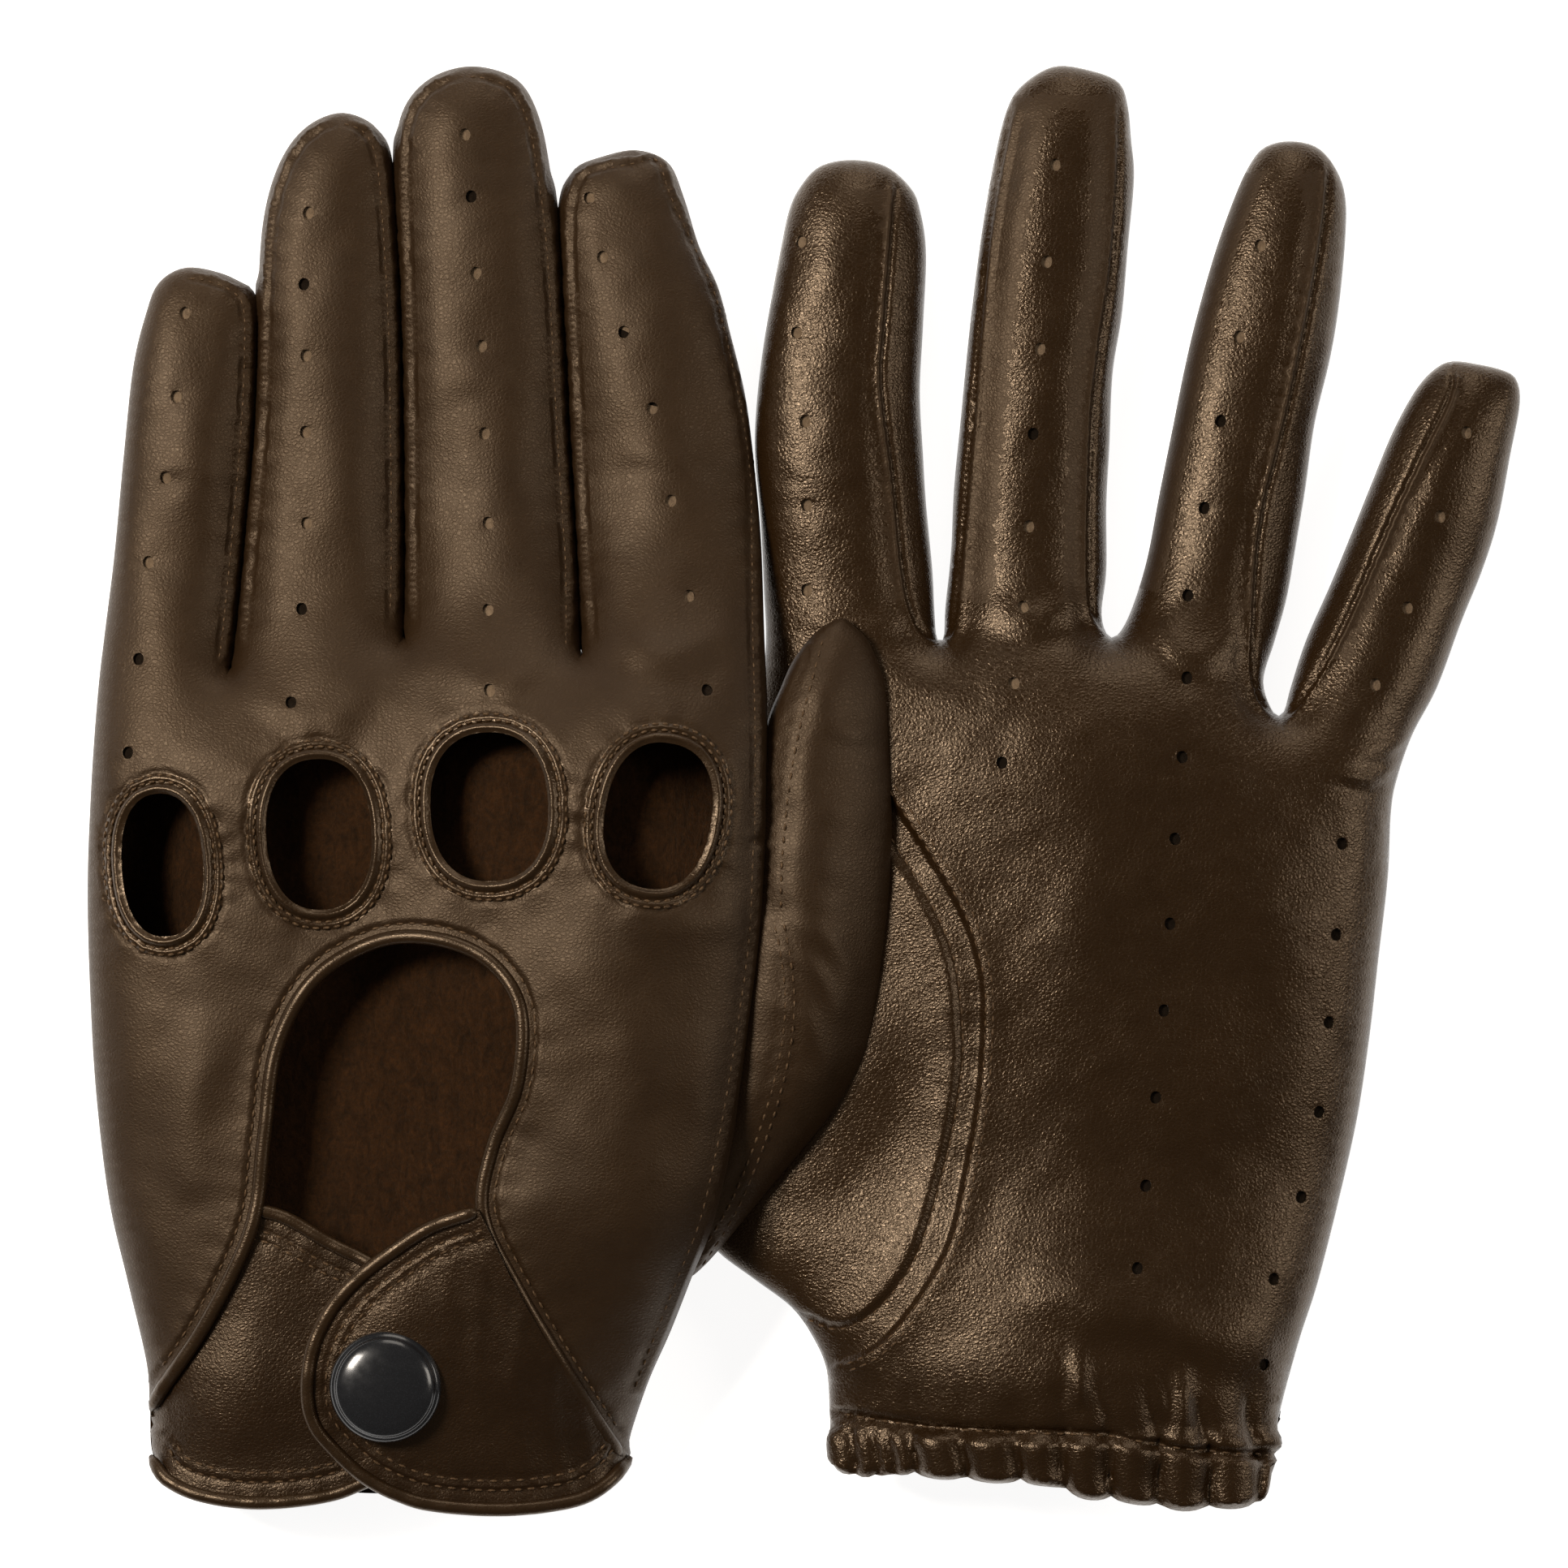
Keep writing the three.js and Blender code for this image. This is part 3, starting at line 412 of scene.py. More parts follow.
class Nodes:
    """A small helper that adds shader nodes and links them."""

    def __init__(self, name):
        self.material = bpy.data.materials.new(name)
        self.material.use_nodes = True
        self.tree = self.material.node_tree
        self.shader = self.tree.nodes["Principled BSDF"]
        self.place = self.add("ShaderNodeTexCoord").outputs["Object"]

    def add(self, kind, **values):
        node = self.tree.nodes.new(kind)
        for key, value in values.items():
            setattr(node, key, value)
        return node

    def link(self, a, b):
        self.tree.links.new(a, b)

    def scaled(self, per_mm, stretch=(1, 1, 1)):
        mapping = self.add("ShaderNodeMapping")
        mapping.inputs["Scale"].default_value = [1000 * per_mm * s for s in stretch]
        self.link(self.place, mapping.inputs["Vector"])
        return mapping.outputs["Vector"]

    def noise(self, per_mm, detail=3, rough=0.55, distortion=0, stretch=(1, 1, 1)):
        node = self.add("ShaderNodeTexNoise")
        node.inputs["Scale"].default_value = 1
        node.inputs["Detail"].default_value = detail
        node.inputs["Roughness"].default_value = rough
        node.inputs["Distortion"].default_value = distortion
        self.link(self.scaled(per_mm, stretch), node.inputs["Vector"])
        return node.outputs["Fac"]

    def cells(self, per_mm, feature="DISTANCE_TO_EDGE", warp=0.0, stretch=(1, 1, 1)):
        node = self.add("ShaderNodeTexVoronoi", feature=feature)
        node.inputs["Scale"].default_value = 1
        vector = self.scaled(per_mm, stretch)
        if warp:
            wobble = self.add("ShaderNodeTexNoise")
            wobble.inputs["Scale"].default_value = 0.8
            self.link(vector, wobble.inputs["Vector"])
            mix = self.add("ShaderNodeVectorMath", operation="MULTIPLY_ADD")
            self.link(wobble.outputs["Color"], mix.inputs[0])
            mix.inputs[1].default_value = (warp, warp, warp)
            self.link(vector, mix.inputs[2])
            vector = mix.outputs["Vector"]
        self.link(vector, node.inputs["Vector"])
        return node.outputs["Distance"]

    def math(self, operation, a, b):
        node = self.add("ShaderNodeMath", operation=operation)
        for socket, value in zip(node.inputs, (a, b)):
            if isinstance(value, (int, float)):
                socket.default_value = value
            else:
                self.link(value, socket)
        return node.outputs[0]

    def spread(self, value, low, high, to_low=0.0, to_high=1.0):
        node = self.add("ShaderNodeMapRange")
        self.link(value, node.inputs["Value"])
        for key, number in (("From Min", low), ("From Max", high), ("To Min", to_low),
                            ("To Max", to_high)):
            node.inputs[key].default_value = number
        return node.outputs["Result"]

    def blend(self, amount, a, b):
        node = self.add("ShaderNodeMix", data_type="RGBA")
        self.link(amount, node.inputs["Factor"])
        for socket, value in ((node.inputs[6], a), (node.inputs[7], b)):
            if isinstance(value, tuple):
                socket.default_value = value
            else:
                self.link(value, socket)
        return node.outputs[2]

    def bump(self, height, depth_mm, strength=1.0, below=None):
        node = self.add("ShaderNodeBump")
        node.inputs["Distance"].default_value = depth_mm * MM
        node.inputs["Strength"].default_value = strength
        self.link(height, node.inputs["Height"])
        if below:
            self.link(below, node.inputs["Normal"])
        return node.outputs["Normal"]

    def finish(self, colour=None, roughness=None, normal=None, **sockets):
        for value, name in ((colour, "Base Color"), (roughness, "Roughness"), (normal, "Normal")):
            if value is None:
                continue
            if isinstance(value, (tuple, float, int)):
                self.shader.inputs[name].default_value = value
            else:
                self.link(value, self.shader.inputs[name])
        for name, value in sockets.items():
            self.shader.inputs[name.replace("_", " ")].default_value = value
        return self.material


WARM = (1.0, 0.76, 0.54, 1)  # the dye's tint in the leather's gloss


def grain_leather(name, dark, mid, light, gloss=0.0, grain=1.0, crease=1.0, depth=0.042):
    """Smooth glove leather: pebbled pores, fine creases, cloudy dye, and pebble tops rubbed lighter,
    which also paints shade into the crevices between pebbles.
    """
    n = Nodes(name)
    pores = n.spread(n.cells(1.3, warp=0.4, stretch=(1, 1.3, 1)), 0.0, 0.34)
    small = n.spread(n.cells(2.9, warp=0.4), 0.0, 0.3)
    pebble = n.math("ADD", n.math("MULTIPLY", pores, 0.7), n.math("MULTIPLY", small, 0.3))
    creases = n.spread(n.cells(0.42, warp=1.3, stretch=(1, 1.8, 1)), 0.0, 0.12)
    cloud = n.noise(0.045, 4, 0.6, 0.4)
    patch = n.noise(0.35, 3, 0.6)
    strength = n.spread(cloud, 0.35, 0.65, 0.7, 1.0)
    height = n.math("ADD", n.math("MULTIPLY", n.math("MULTIPLY", pebble, strength), grain),
                    n.math("MULTIPLY", creases, 0.12 * crease))
    height = n.math("ADD", height, n.math("MULTIPLY", patch, 0.06))
    wide = n.bump(n.noise(0.09, 2, 0.4), 0.06, 0.6)
    normal = n.bump(height, depth, 1.0, wide)
    tone = n.blend(n.spread(cloud, 0.36, 0.66), linear(*dark), linear(*mid))
    # Pebble tops lighter than their crevices: partly wear on the high spots, partly painted shade in
    # the crevices.
    rubbed_tops_and_crevice_shade = n.spread(n.math("MULTIPLY", pebble, patch), 0.18, 0.55, 0.0, 0.5)
    tone = n.blend(rubbed_tops_and_crevice_shade, tone, linear(*light))
    rough = n.math("ADD", n.spread(patch, 0.3, 0.7, 0.32 - gloss, 0.36 - gloss),
                   n.spread(pebble, 0, 1, 0.10, -0.04))
    return n.finish(tone, rough, normal, Specular_IOR_Level=0.62 if gloss > 0 else 0.54, IOR=1.5,
                    Specular_Tint=WARM)


def suede(name, dark, light):
    """The flesh side of the leather: short nap, no shine."""
    n = Nodes(name)
    nap = n.noise(1.3, 4, 0.8, 0.6)
    streak = n.noise(0.6, 3, 0.6, 1.2, stretch=(1, 0.45, 1))
    height = n.math("ADD", nap, n.math("MULTIPLY", streak, 0.6))
    tone = n.blend(n.spread(n.math("MULTIPLY", nap, streak), 0.12, 0.42), linear(*dark), linear(*light))
    return n.finish(tone, 0.95, n.bump(height, 0.35, 1.0), Specular_IOR_Level=0.1, Sheen_Weight=0.12,
                    Sheen_Roughness=0.6, Sheen_Tint=WARM)


def thread(name, dark, light):
    """Twisted waxed thread."""
    n = Nodes(name)
    twist = n.noise(3.5, 2, 0.5, 0, stretch=(1, 0.5, 1))
    tone = n.blend(n.spread(twist, 0.35, 0.65), linear(*dark), linear(*light))
    return n.finish(tone, 0.5, n.bump(twist, 0.12, 0.8), Specular_Tint=WARM)


def enamel(name, dark, light):
    """Baked dark enamel over steel, with dust-fine specks and a soft orange peel."""
    n = Nodes(name)
    speck = n.noise(4.5, 2, 0.8)
    peel = n.noise(0.8, 2, 0.4)
    tone = n.blend(n.spread(speck, 0.5, 0.72), linear(*dark), linear(*light))
    rough = n.spread(peel, 0.3, 0.7, 0.20, 0.27)
    return n.finish(tone, rough, n.bump(peel, 0.02, 0.5), Metallic=0.15, Coat_Weight=0.5,
                    Coat_Roughness=0.12)


def metal(name, dark, light):
    """Plain pressed steel, a little dulled."""
    n = Nodes(name)
    stain = n.noise(0.5, 4, 0.7)
    line = n.noise(2.0, 2, 0.6, 0, stretch=(1, 1, 8))
    tone = n.blend(n.spread(stain, 0.35, 0.7), linear(*dark), linear(*light))
    return n.finish(tone, n.spread(stain, 0.3, 0.7, 0.25, 0.42), n.bump(line, 0.03, 0.5), Metallic=1.0)


def webbing(name, dark, light):
    """Woven elastic: ribs along the band, crossed by fine rubber lines."""
    n = Nodes(name)
    wave = n.add("ShaderNodeTexWave")
    wave.inputs["Scale"].default_value = 1
    wave.inputs["Distortion"].default_value = 0.4
    n.link(n.scaled(0.32), wave.inputs["Vector"])
    knit = n.cells(2.2, "F1")
    height = n.math("ADD", wave.outputs["Fac"], n.math("MULTIPLY", knit, 0.6))
    tone = n.blend(n.spread(height, 0.3, 1.2), linear(*dark), linear(*light))
    return n.finish(tone, 0.9, n.bump(height, 0.25, 1.0), Sheen_Weight=0.3)


def paper(name):
    """The pale surface that the gloves lie on."""
    n = Nodes(name)
    soft = n.noise(0.02, 2, 0.4)
    tone = n.blend(n.spread(soft, 0.3, 0.7), (0.80, 0.80, 0.80, 1), (0.82, 0.82, 0.82, 1))
    return n.finish(tone, 0.9, None, Specular_IOR_Level=0.1, Emission_Color=(1, 1, 1, 1),
                    Emission_Strength=0.9)


MATERIALS = {
    "leather": grain_leather("brown_leather", (38, 24, 11), (43, 28, 13), (54, 37, 20), -0.09),
    "palm": grain_leather("brown_palm_leather", (36, 22, 8), (41, 26, 11), (50, 34, 17), 0.11,
                          depth=0.055),
    "tab": grain_leather("brown_tab_leather", (31, 18, 6), (37, 22, 8), (52, 34, 17), 0.02, 1.3, 1.3),
    "edge": grain_leather("brown_binding_leather", (37, 24, 11), (43, 29, 15), (58, 40, 24), 0.06, 0.6),
    "suede": suede("brown_suede", (30, 15, 2), (64, 38, 15)),
    "thread": thread("brown_thread", (50, 35, 21), (98, 76, 54)),
    # The perforations' floors: one painted light and one painted dark as shade, in place of real light
    # and shade in the holes.
    "punched": suede("punched_hole_lit", (118, 98, 77), (150, 128, 104)),
    "shadow": suede("punched_hole_dark", (14, 8, 3), (26, 16, 8)),
    "enamel": enamel("dark_enamel", (30, 31, 34), (44, 46, 50)),
    "metal": metal("stud_steel", (120, 120, 122), (168, 168, 170)),
    "elastic": webbing("woven_elastic", (24, 17, 11), (58, 44, 31)),
}


# ---------------------------------------------------------------- pieces

# The plan is the part's own; the frame is centred on the pair, so the two differ by a shift.
cap_low, cap_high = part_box("upper_snap_cap")
CAP_AT = np.array([-66.5, -95.5])
SHIFT = np.array([(cap_low.x + cap_high.x) / 2, (cap_low.y + cap_high.y) / 2]) / MM - CAP_AT


def to_frame(v):
    """Plan millimetres to frame metres."""
    out = np.array(v, float)
    out[..., 0] += SHIFT[0]
    out[..., 1] += SHIFT[1]
    return out * MM


def piece(name, v, faces, materials, face_material=None, normals=None):
    """A mesh object from arrays in plan millimetres."""
    mesh = bpy.data.meshes.new(name)
    mesh.from_pydata(to_frame(v).tolist(), [], [tuple(map(int, f)) for f in faces])
    mesh.validate()
    for m in materials:
        mesh.materials.append(MATERIALS[m])
    if face_material is not None:
        mesh.polygons.foreach_set("material_index", np.asarray(face_material, np.int32))
    mesh.polygons.foreach_set("use_smooth", np.full(len(mesh.polygons), True))
    if normals is not None:
        mesh.normals_split_custom_set_from_vertices(normals.tolist())
    obj = bpy.data.objects.new(name, mesh)
    bpy.context.collection.objects.link(obj)
    return obj


def take(v, n, faces, thickness):
    """The outer faces of one piece, closed into leather of a thickness.
    Returns vertices, faces, material numbers (0 grain and edges, 1 flesh) and normals."""
    used, inverse = np.unique(faces, return_inverse=True)
    f = inverse.reshape(faces.shape)
    outer, normal = v[used], n[used]
    if np.ndim(thickness):
        thickness = thickness[used][:, None]
    inner = outer - normal * thickness
    count = len(used)
    edge = np.concatenate([f[:, [0, 1]], f[:, [1, 2]], f[:, [2, 0]]])
    key = edge[:, 0].astype(np.int64) * count + edge[:, 1]
    back = edge[:, 1].astype(np.int64) * count + edge[:, 0]
    rim = edge[~np.isin(key, back)]
    faces_out = f.tolist() + (f[:, ::-1] + count).tolist()
    faces_out += [[b, a, a + count, b + count] for a, b in rim.tolist()]
    numbers = np.concatenate([np.zeros(len(f)), np.ones(len(f)), np.zeros(len(rim))])
    return np.vstack([outer, inner]), faces_out, numbers, np.vstack([normal, -normal])


def capsules(path, normal, length, width, height, gap):
    """Stitches: small rounded pads along a path that lies on a surface."""
    v, f = [], []
    along = np.concatenate([[0], np.cumsum(np.linalg.norm(np.diff(path, axis=0), axis=1))])
    count = int(along[-1] / (length + gap))
    rings, sides = 5, 6
    for i in range(count):
        s = (i + 0.5) * along[-1] / count
        ends = [np.array([np.interp(s + d, along, path[:, k]) for k in range(3)])
                for d in (-length / 2, length / 2)]
        up = np.array([np.interp(s, along, normal[:, k]) for k in range(3)])
        t = ends[1] - ends[0]
        size = np.linalg.norm(t)
        if size < 1e-6:
            continue
        t /= size
        up -= t * (up @ t)
        up /= max(np.linalg.norm(up), 1e-9)
        across = np.cross(t, up)
        middle = (ends[0] + ends[1]) / 2
        first = len(v)
        for r in range(rings):
            a = -math.pi / 2 + math.pi * (r + 0.5) / rings
            for q in range(sides):
                b = 2 * math.pi * q / sides
                v.append(middle + t * math.sin(a) * length / 2
                         + math.cos(a) * (across * math.cos(b) * width / 2 + up * math.sin(b) * height))
        for r in range(rings - 1):
            for q in range(sides):
                a, b = first + r * sides + q, first + r * sides + (q + 1) % sides
                f.append([a, b, b + sides, a + sides])
        f.append([first + q for q in reversed(range(sides))])
        f.append([first + (rings - 1) * sides + q for q in range(sides)])
    return v, f


def tube(path, normal, radius, flat, sides=12):
    """A rolled edge along a path: a flattened tube with rounded ends."""
    n = len(path)
    t = np.vstack([path[1:], path[-1:]]) - np.vstack([path[:1], path[:-1]])
    t /= np.maximum(np.linalg.norm(t, axis=1, keepdims=True), 1e-9)
    up = normal - t * (normal * t).sum(1, keepdims=True)
    up /= np.maximum(np.linalg.norm(up, axis=1, keepdims=True), 1e-9)
    across = np.cross(t, up)
    end = np.minimum(np.arange(n), n - 1 - np.arange(n))
    r = np.full(n, radius, float) * np.sqrt(np.clip((end + 0.3) / 1.6, 0, 1))
    angle = np.linspace(0, 2 * math.pi, sides, endpoint=False)
    ring = (across[:, None] * np.cos(angle)[None, :, None]
            + up[:, None] * (flat * np.sin(angle))[None, :, None]) * r[:, None, None]
    v = (path[:, None] + ring).reshape(-1, 3)
    f = []
    for i in range(n - 1):
        for q in range(sides):
            a, b, c = i * sides + q, i * sides + (q + 1) % sides, (i + 1) * sides
            f.append([a, c + q, c + (q + 1) % sides, b])
    f.append(list(range(sides)))
    f.append([(n - 1) * sides + q for q in reversed(range(sides))])
    return v, f


def lathe(profile, at, flip, steps):
    """A turned piece round a vertical axis; flip is -1 where it faces down."""
    angle = np.linspace(0, 2 * math.pi, steps, endpoint=False)
    v, f = [], []
    for r, z in profile:
        for a in angle:
            v.append((at[0] + r * math.cos(a), at[1] + r * math.sin(a), at[2] + flip * z))
    for i in range(len(profile) - 1):
        for q in range(steps):
            a, b = i * steps + q, i * steps + (q + 1) % steps
            f.append([a, b, b + steps, a + steps][::flip])
    return np.array(v), f


class Surface:
    """Finds the height and normal of a laid sheet above a point in plan."""

    def __init__(self, v, faces, up=1):
        self.tree = BVHTree.FromPolygons([tuple(p) for p in v], [tuple(map(int, f)) for f in faces])
        self.up = up

    def drop(self, p, lift=0.0):
        """Points in plan set down on the sheet: (places, normals)."""
        places, normals = [], []
        level = 14.0 if self.up > 0 else 4.0
        for x, y in p:
            hit = self.tree.ray_cast(Vector((x, y, 200 * self.up)), Vector((0, 0, -self.up)))
            if hit[0] is None:
                near = self.tree.find_nearest(Vector((x, y, level)))
                hit = (Vector((x, y, near[0].z)), near[1])
            level = hit[0].z
            normal = hit[1] if hit[1].z * self.up > 0 else -hit[1]
            places.append(np.array(hit[0]) + np.array(normal) * lift)
            normals.append(np.array(normal))
        normals = np.array(normals)
        for _ in range(2):
            normals[1:-1] = (normals[:-2] + normals[1:-1] * 2 + normals[2:]) / 4
        return np.array(places), normals


# ---------------------------------------------------------------- the gloves' leather

UPPER_SIDES = [(-116, -104, -30.5), (-87, -107, -21.4), (-54, -113.5, -11), (-12, -115, -6.3),
               (32, -111, -6.5)]
LOWER_SIDES = [(-118, 6, 73), (-93, 3, 78.8), (-67, -4, 86), (-41, -7, 90.5), (-15, -7.6, 93.6),
               (32, -6, 100)]
RAISED = (0.2, 0.5, 0.8, 1.1, 1.45, 1.8, 2.15, 2.5, 2.9, 3.3, 3.8, 4.6)  # rows round a knuckle hole


def mirror(p):
    """A place on the upper glove's back, carried to the lower glove's back."""
    p = np.array(p, float)
    y = p[:, 1]

    def side(table, k):
        return np.interp(y, [row[0] for row in table], [row[k] for row in table])

    share = (p[:, 0] - side(UPPER_SIDES, 1)) / (side(UPPER_SIDES, 2) - side(UPPER_SIDES, 1))
    x = side(LOWER_SIDES, 2) + share * (side(LOWER_SIDES, 1) - side(LOWER_SIDES, 2))
    return np.stack([x, np.where(y < -98, -98 + (y + 98) * 0.62, y)], 1)


def upper_lift(x, y):
    """How far the upper glove is raised by the lower glove's thumb beneath it."""
    return 11.8 * smooth((x + 78) / 56) * smooth((56 - y) / 56) * smooth((y + 112) / 52)


def lay(glove, x, y, z):
    """Heights as laid: the upper glove over the lower one's thumb, the lower one pressed by it."""
    if glove == "upper":
        return z + upper_lift(x, y)
    press = 1 - 0.30 * smooth((46 - x) / 52) * smooth((48 - y) / 56)
    return z * press + 4.6 * smooth((-56 - y) / 38)


def waves(x, y, size, seed):
    """Gentle irregular relief of about one unit, from sines at scattered headings."""
    turns = np.random.default_rng(seed)
    total = np.zeros_like(x)
    for _ in range(9):
        a = turns.uniform(0, 2 * math.pi)
        k = 2 * math.pi / (size * turns.uniform(0.7, 1.5))
        bend = turns.uniform(0, 2 * math.pi)
        warp = 0.9 * np.sin((x * math.sin(a) - y * math.cos(a)) * k * 0.6 + bend)
        total += np.sin((x * math.cos(a) + y * math.sin(a)) * k + warp + bend)
    return total / 3


def joint_of(body):
    """The joint that carries a body."""
    return next(j for j in frame["joints"] if j.get("child") == body)


def fold_line(glove, digit):
    """The hinge of a digit in plan: a point, the way the digit points, and the hinge's height."""
    joint = joint_of(f"{glove}_{digit}")
    at = np.array(joint["pos_m"]) / MM
    axis = joint["axis"]
    return at[:2] - SHIFT, np.array([-axis[1], axis[0]]), at[2]


def bend(obj, glove, digit):
    """Bakes a piece's placement into its mesh; the piece is not bent with its digit."""
    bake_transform(obj)


def open_strap(obj, glove):
    """Finds which way the strap's hinge opens, and bakes a strap piece's placement into its mesh; the
    piece is not bent.
    """
    joint = joint_of(f"{glove}_strap")
    root = Vector(joint["pos_m"])
    way = Vector(joint["axis"]).cross(Vector((0, 0, 1))).normalized()
    low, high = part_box(f"{glove}_snap_cap")
    if way.dot((low + high) / 2 - root) < 0:
        way.negate()
    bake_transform(obj)


def carry(obj, g, body):
    """A piece of the wrist moves with the hand; a piece of the strap only has its placement baked."""
    if body.endswith("_strap"):
        open_strap(obj, g.name)
    else:
        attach(obj, body)


class Glove:
    """One glove: its plan, its two filled sheets, and the relief of its seams and folds."""

    def __init__(self, name, outline, order, holes):
        self.name = name
        self.back_up = name == "upper"
        self.outline_parts = outline
        self.outline = spline([p for key in order for p in outline[key]], True, 1.05)
        if not self.back_up:
            # The gathered hem's edge hangs a little lower under each pleat.
            x, y = self.outline.T
            self.outline[:, 1] -= np.where(y < -109.2, 1.0 * pleats(x) - 0.6, 0)
        self.fingers = {f: spline(outline[f], False, 1.0) for f in FINGERS}
        self.order = [key for key in order if key in FINGERS]
        self.knuckles = {f: self.on_back(oval(*KNUCKLES[f], count=64)) for f in FINGERS}
        self.keyhole, self.strap, self.under_tab = (
            self.on_back(spline(line)) for line in (KEYHOLE, STRAP, UNDER_TAB))
        self.cap_at = self.on_back([CAP_AT])[0]
        self.perforations = [oval(x, y, *HOLE, 12 * math.sin(7 * i), 12)
                             for i, (x, y) in enumerate(holes)]
        self.hole_painted_shade = [i in PAINTED_SHADE_HOLES[name] for i in range(len(holes))]
        self.seams = {}
        if not self.back_up:
            self.seams = {key: spline(line, False, 1.0) for key, line in LOWER_SEAMS.items()}
            self.thumb_seam = spline(THUMB_SEAM, False, 1.0)
            self.thumb_inner = spline(THUMB_SEAM_INNER, False, 1.0)
            self.hem = spline(HEM_SEAM, False, 1.0)
        else:
            for f in FINGERS:
                line = self.fingers[f]
                tip = line[:, 1].argmax()
                inner = offset(line, -1.25)
                if f != "little":
                    self.seams[(f, "left")] = inner[:tip]
                if f != "index":
                    self.seams[(f, "right")] = inner[tip:]
            self.seams[("index", "right")] = spline(UPPER_INDEX_SEAM, False, 1.0)
            self.side_seam = spline(UPPER_SIDE_SEAM, False, 1.0)
        self.cut()
        self.fill()
        self.relief()

    def on_back(self, p):
        """Places given on the upper glove's back, on this glove's back."""
        return np.array(p, float) if self.back_up else mirror(p)

    def cut(self):
        """Triangles over the plan, with points along every seam, edge and hole."""
        loops = [*self.knuckles.values(), *self.perforations]
        keyhole = self.keyhole[inside(self.keyhole, offset(self.outline, -0.6, True))]
        lines = [keyhole]
        rails = [offset(self.outline, -d, True) for d in (0.3, 0.75, 1.3, 2.0, 3.0)]
        for ring in self.knuckles.values():
            turn = 1 if self.back_up else -1
            rails += [offset(ring, -d * turn, True) for d in RAISED]
        for d in (-3.2, -2.6, -2.2, -1.8, -1.4, -0.9, -0.45, 0.5):
            rails.append(offset(self.keyhole, d if not self.back_up else -d))
        for line in self.seams.values():
            rails += [offset(line, d) for d in (-1.5, -1, -0.65, -0.33, 0, 0.33, 0.65, 1, 1.5)]
        if not self.back_up:
            for line in (self.thumb_seam, self.thumb_inner, self.hem):
                rails += [offset(line, d) for d in (-2, -1.3, -0.8, -0.4, 0, 0.4, 0.8, 1.3, 2)]
            hem = spline(HEM_SEAM, False, 0.62)
            rails += [offset(hem, d) for d in (*np.arange(-11, -2.5, 1.0), *np.arange(3, 9, 1.0))]
        for hole in self.perforations:
            rails.append(offset(hole, -0.35, True))
        self.co, self.tri = triangulate(self.outline, lines, loops, rails, GRID)

    def fill(self):
        """The two sheets' heights: filled like a soft bag, open at the cuff, and laid down."""
        co = self.co
        away = distance(co, self.outline, True)[0]
        rim = away < RIM
        self.away = away
        shared = rim & ~(co[:, 1] < MOUTH)
        h = inflate(co, self.tri, shared)
        x, y = co[:, 0], co[:, 1]
        # The sides lie flatter at the wrist, and the cuff narrows to its mouth.
        h = h * (1 - 0.22 * smooth((-92 - y) / 22))
        level = 11.2 - 4.0 * smooth(y / 38) - 1.2 * smooth((y - 62) / 40)
        if not self.back_up:
            level = level - 0.8
        top = level + h
        bottom = level - h
        bottom = 0.5 * (bottom + 0.15 + np.sqrt((bottom - 0.15) ** 2 + 1.2))
        bottom = np.where(shared, level, np.minimum(bottom, level - 0.02))
        soft = smooth(away / 9)
        wide, fine = waves(x, y, 26, 3 if self.back_up else 8), waves(x, y, 9, 5)
        top = top + soft * ((0.34 if self.back_up else 0.13) * wide + 0.06 * fine)
        top = lay(self.name, x, y, top)
        bottom = lay(self.name, x, y, bottom)
        n = len(co)
        other = np.where(shared, np.arange(n), -1)
        fresh = np.flatnonzero(~shared)
        other[fresh] = n + np.arange(len(fresh))
        self.bottom_of = other
        self.v = np.vstack([np.column_stack([co, top]), np.column_stack([co[fresh], bottom[fresh]])])
        self.top_faces = facing(co, self.tri)
        self.bottom_faces = other[self.top_faces[:, ::-1]]
        self.faces = np.vstack([self.top_faces, self.bottom_faces])
        self.n = vertex_normals(self.v, self.faces)
        if self.back_up:
            # Neighbouring fingers press against each other along their sides.
            near = np.sort([distance(self.v[:, :2], line)[0] for line in self.fingers.values()],
                           axis=0)
            touch = (np.exp(-near[0] / 1.2) * smooth((3.2 - near[1]) / 1.6)
                     * smooth((self.v[:, 1] - 15) / 4))
            self.v[:, :2] += self.n[:, :2] * 0.42 * touch[:, None]
            self.n = vertex_normals(self.v, self.faces)

    def push(self, amount, sheet):
        """Moves one sheet's points along its normals; rim points stay joined."""
        n = len(self.co)
        index = np.arange(n) if sheet == "top" else self.bottom_of
        rim = self.away < RIM
        index, amount = index[~rim], amount[~rim]
        self.v[index] += self.n[index] * amount[:, None]

    def relief(self):
        """Raises and sinks the sheets along their seams, pleats, folds and openings."""
        co = self.co
        x, y = co[:, 0], co[:, 1]
        top = np.zeros(len(co))
        back = np.zeros(len(co))
        for key, line in self.seams.items():
            d, side, along = distance(co, line)
            ends = np.clip(np.minimum(along, 1 - along) * 24, 0, 1)
            pitch = 0.86 + 0.14 * np.cos(along * len(line) * 2 * math.pi / STITCH)
            if self.back_up:
                top += ends * (0.42 * pitch * ridge(d, 0.42) - 0.30 * ridge(d - 0.95, 0.42))
                top += ends * 0.13 * ridge(d, 3.2) * np.sin(along * len(line) * 1.3 + 2 * side)
            else:
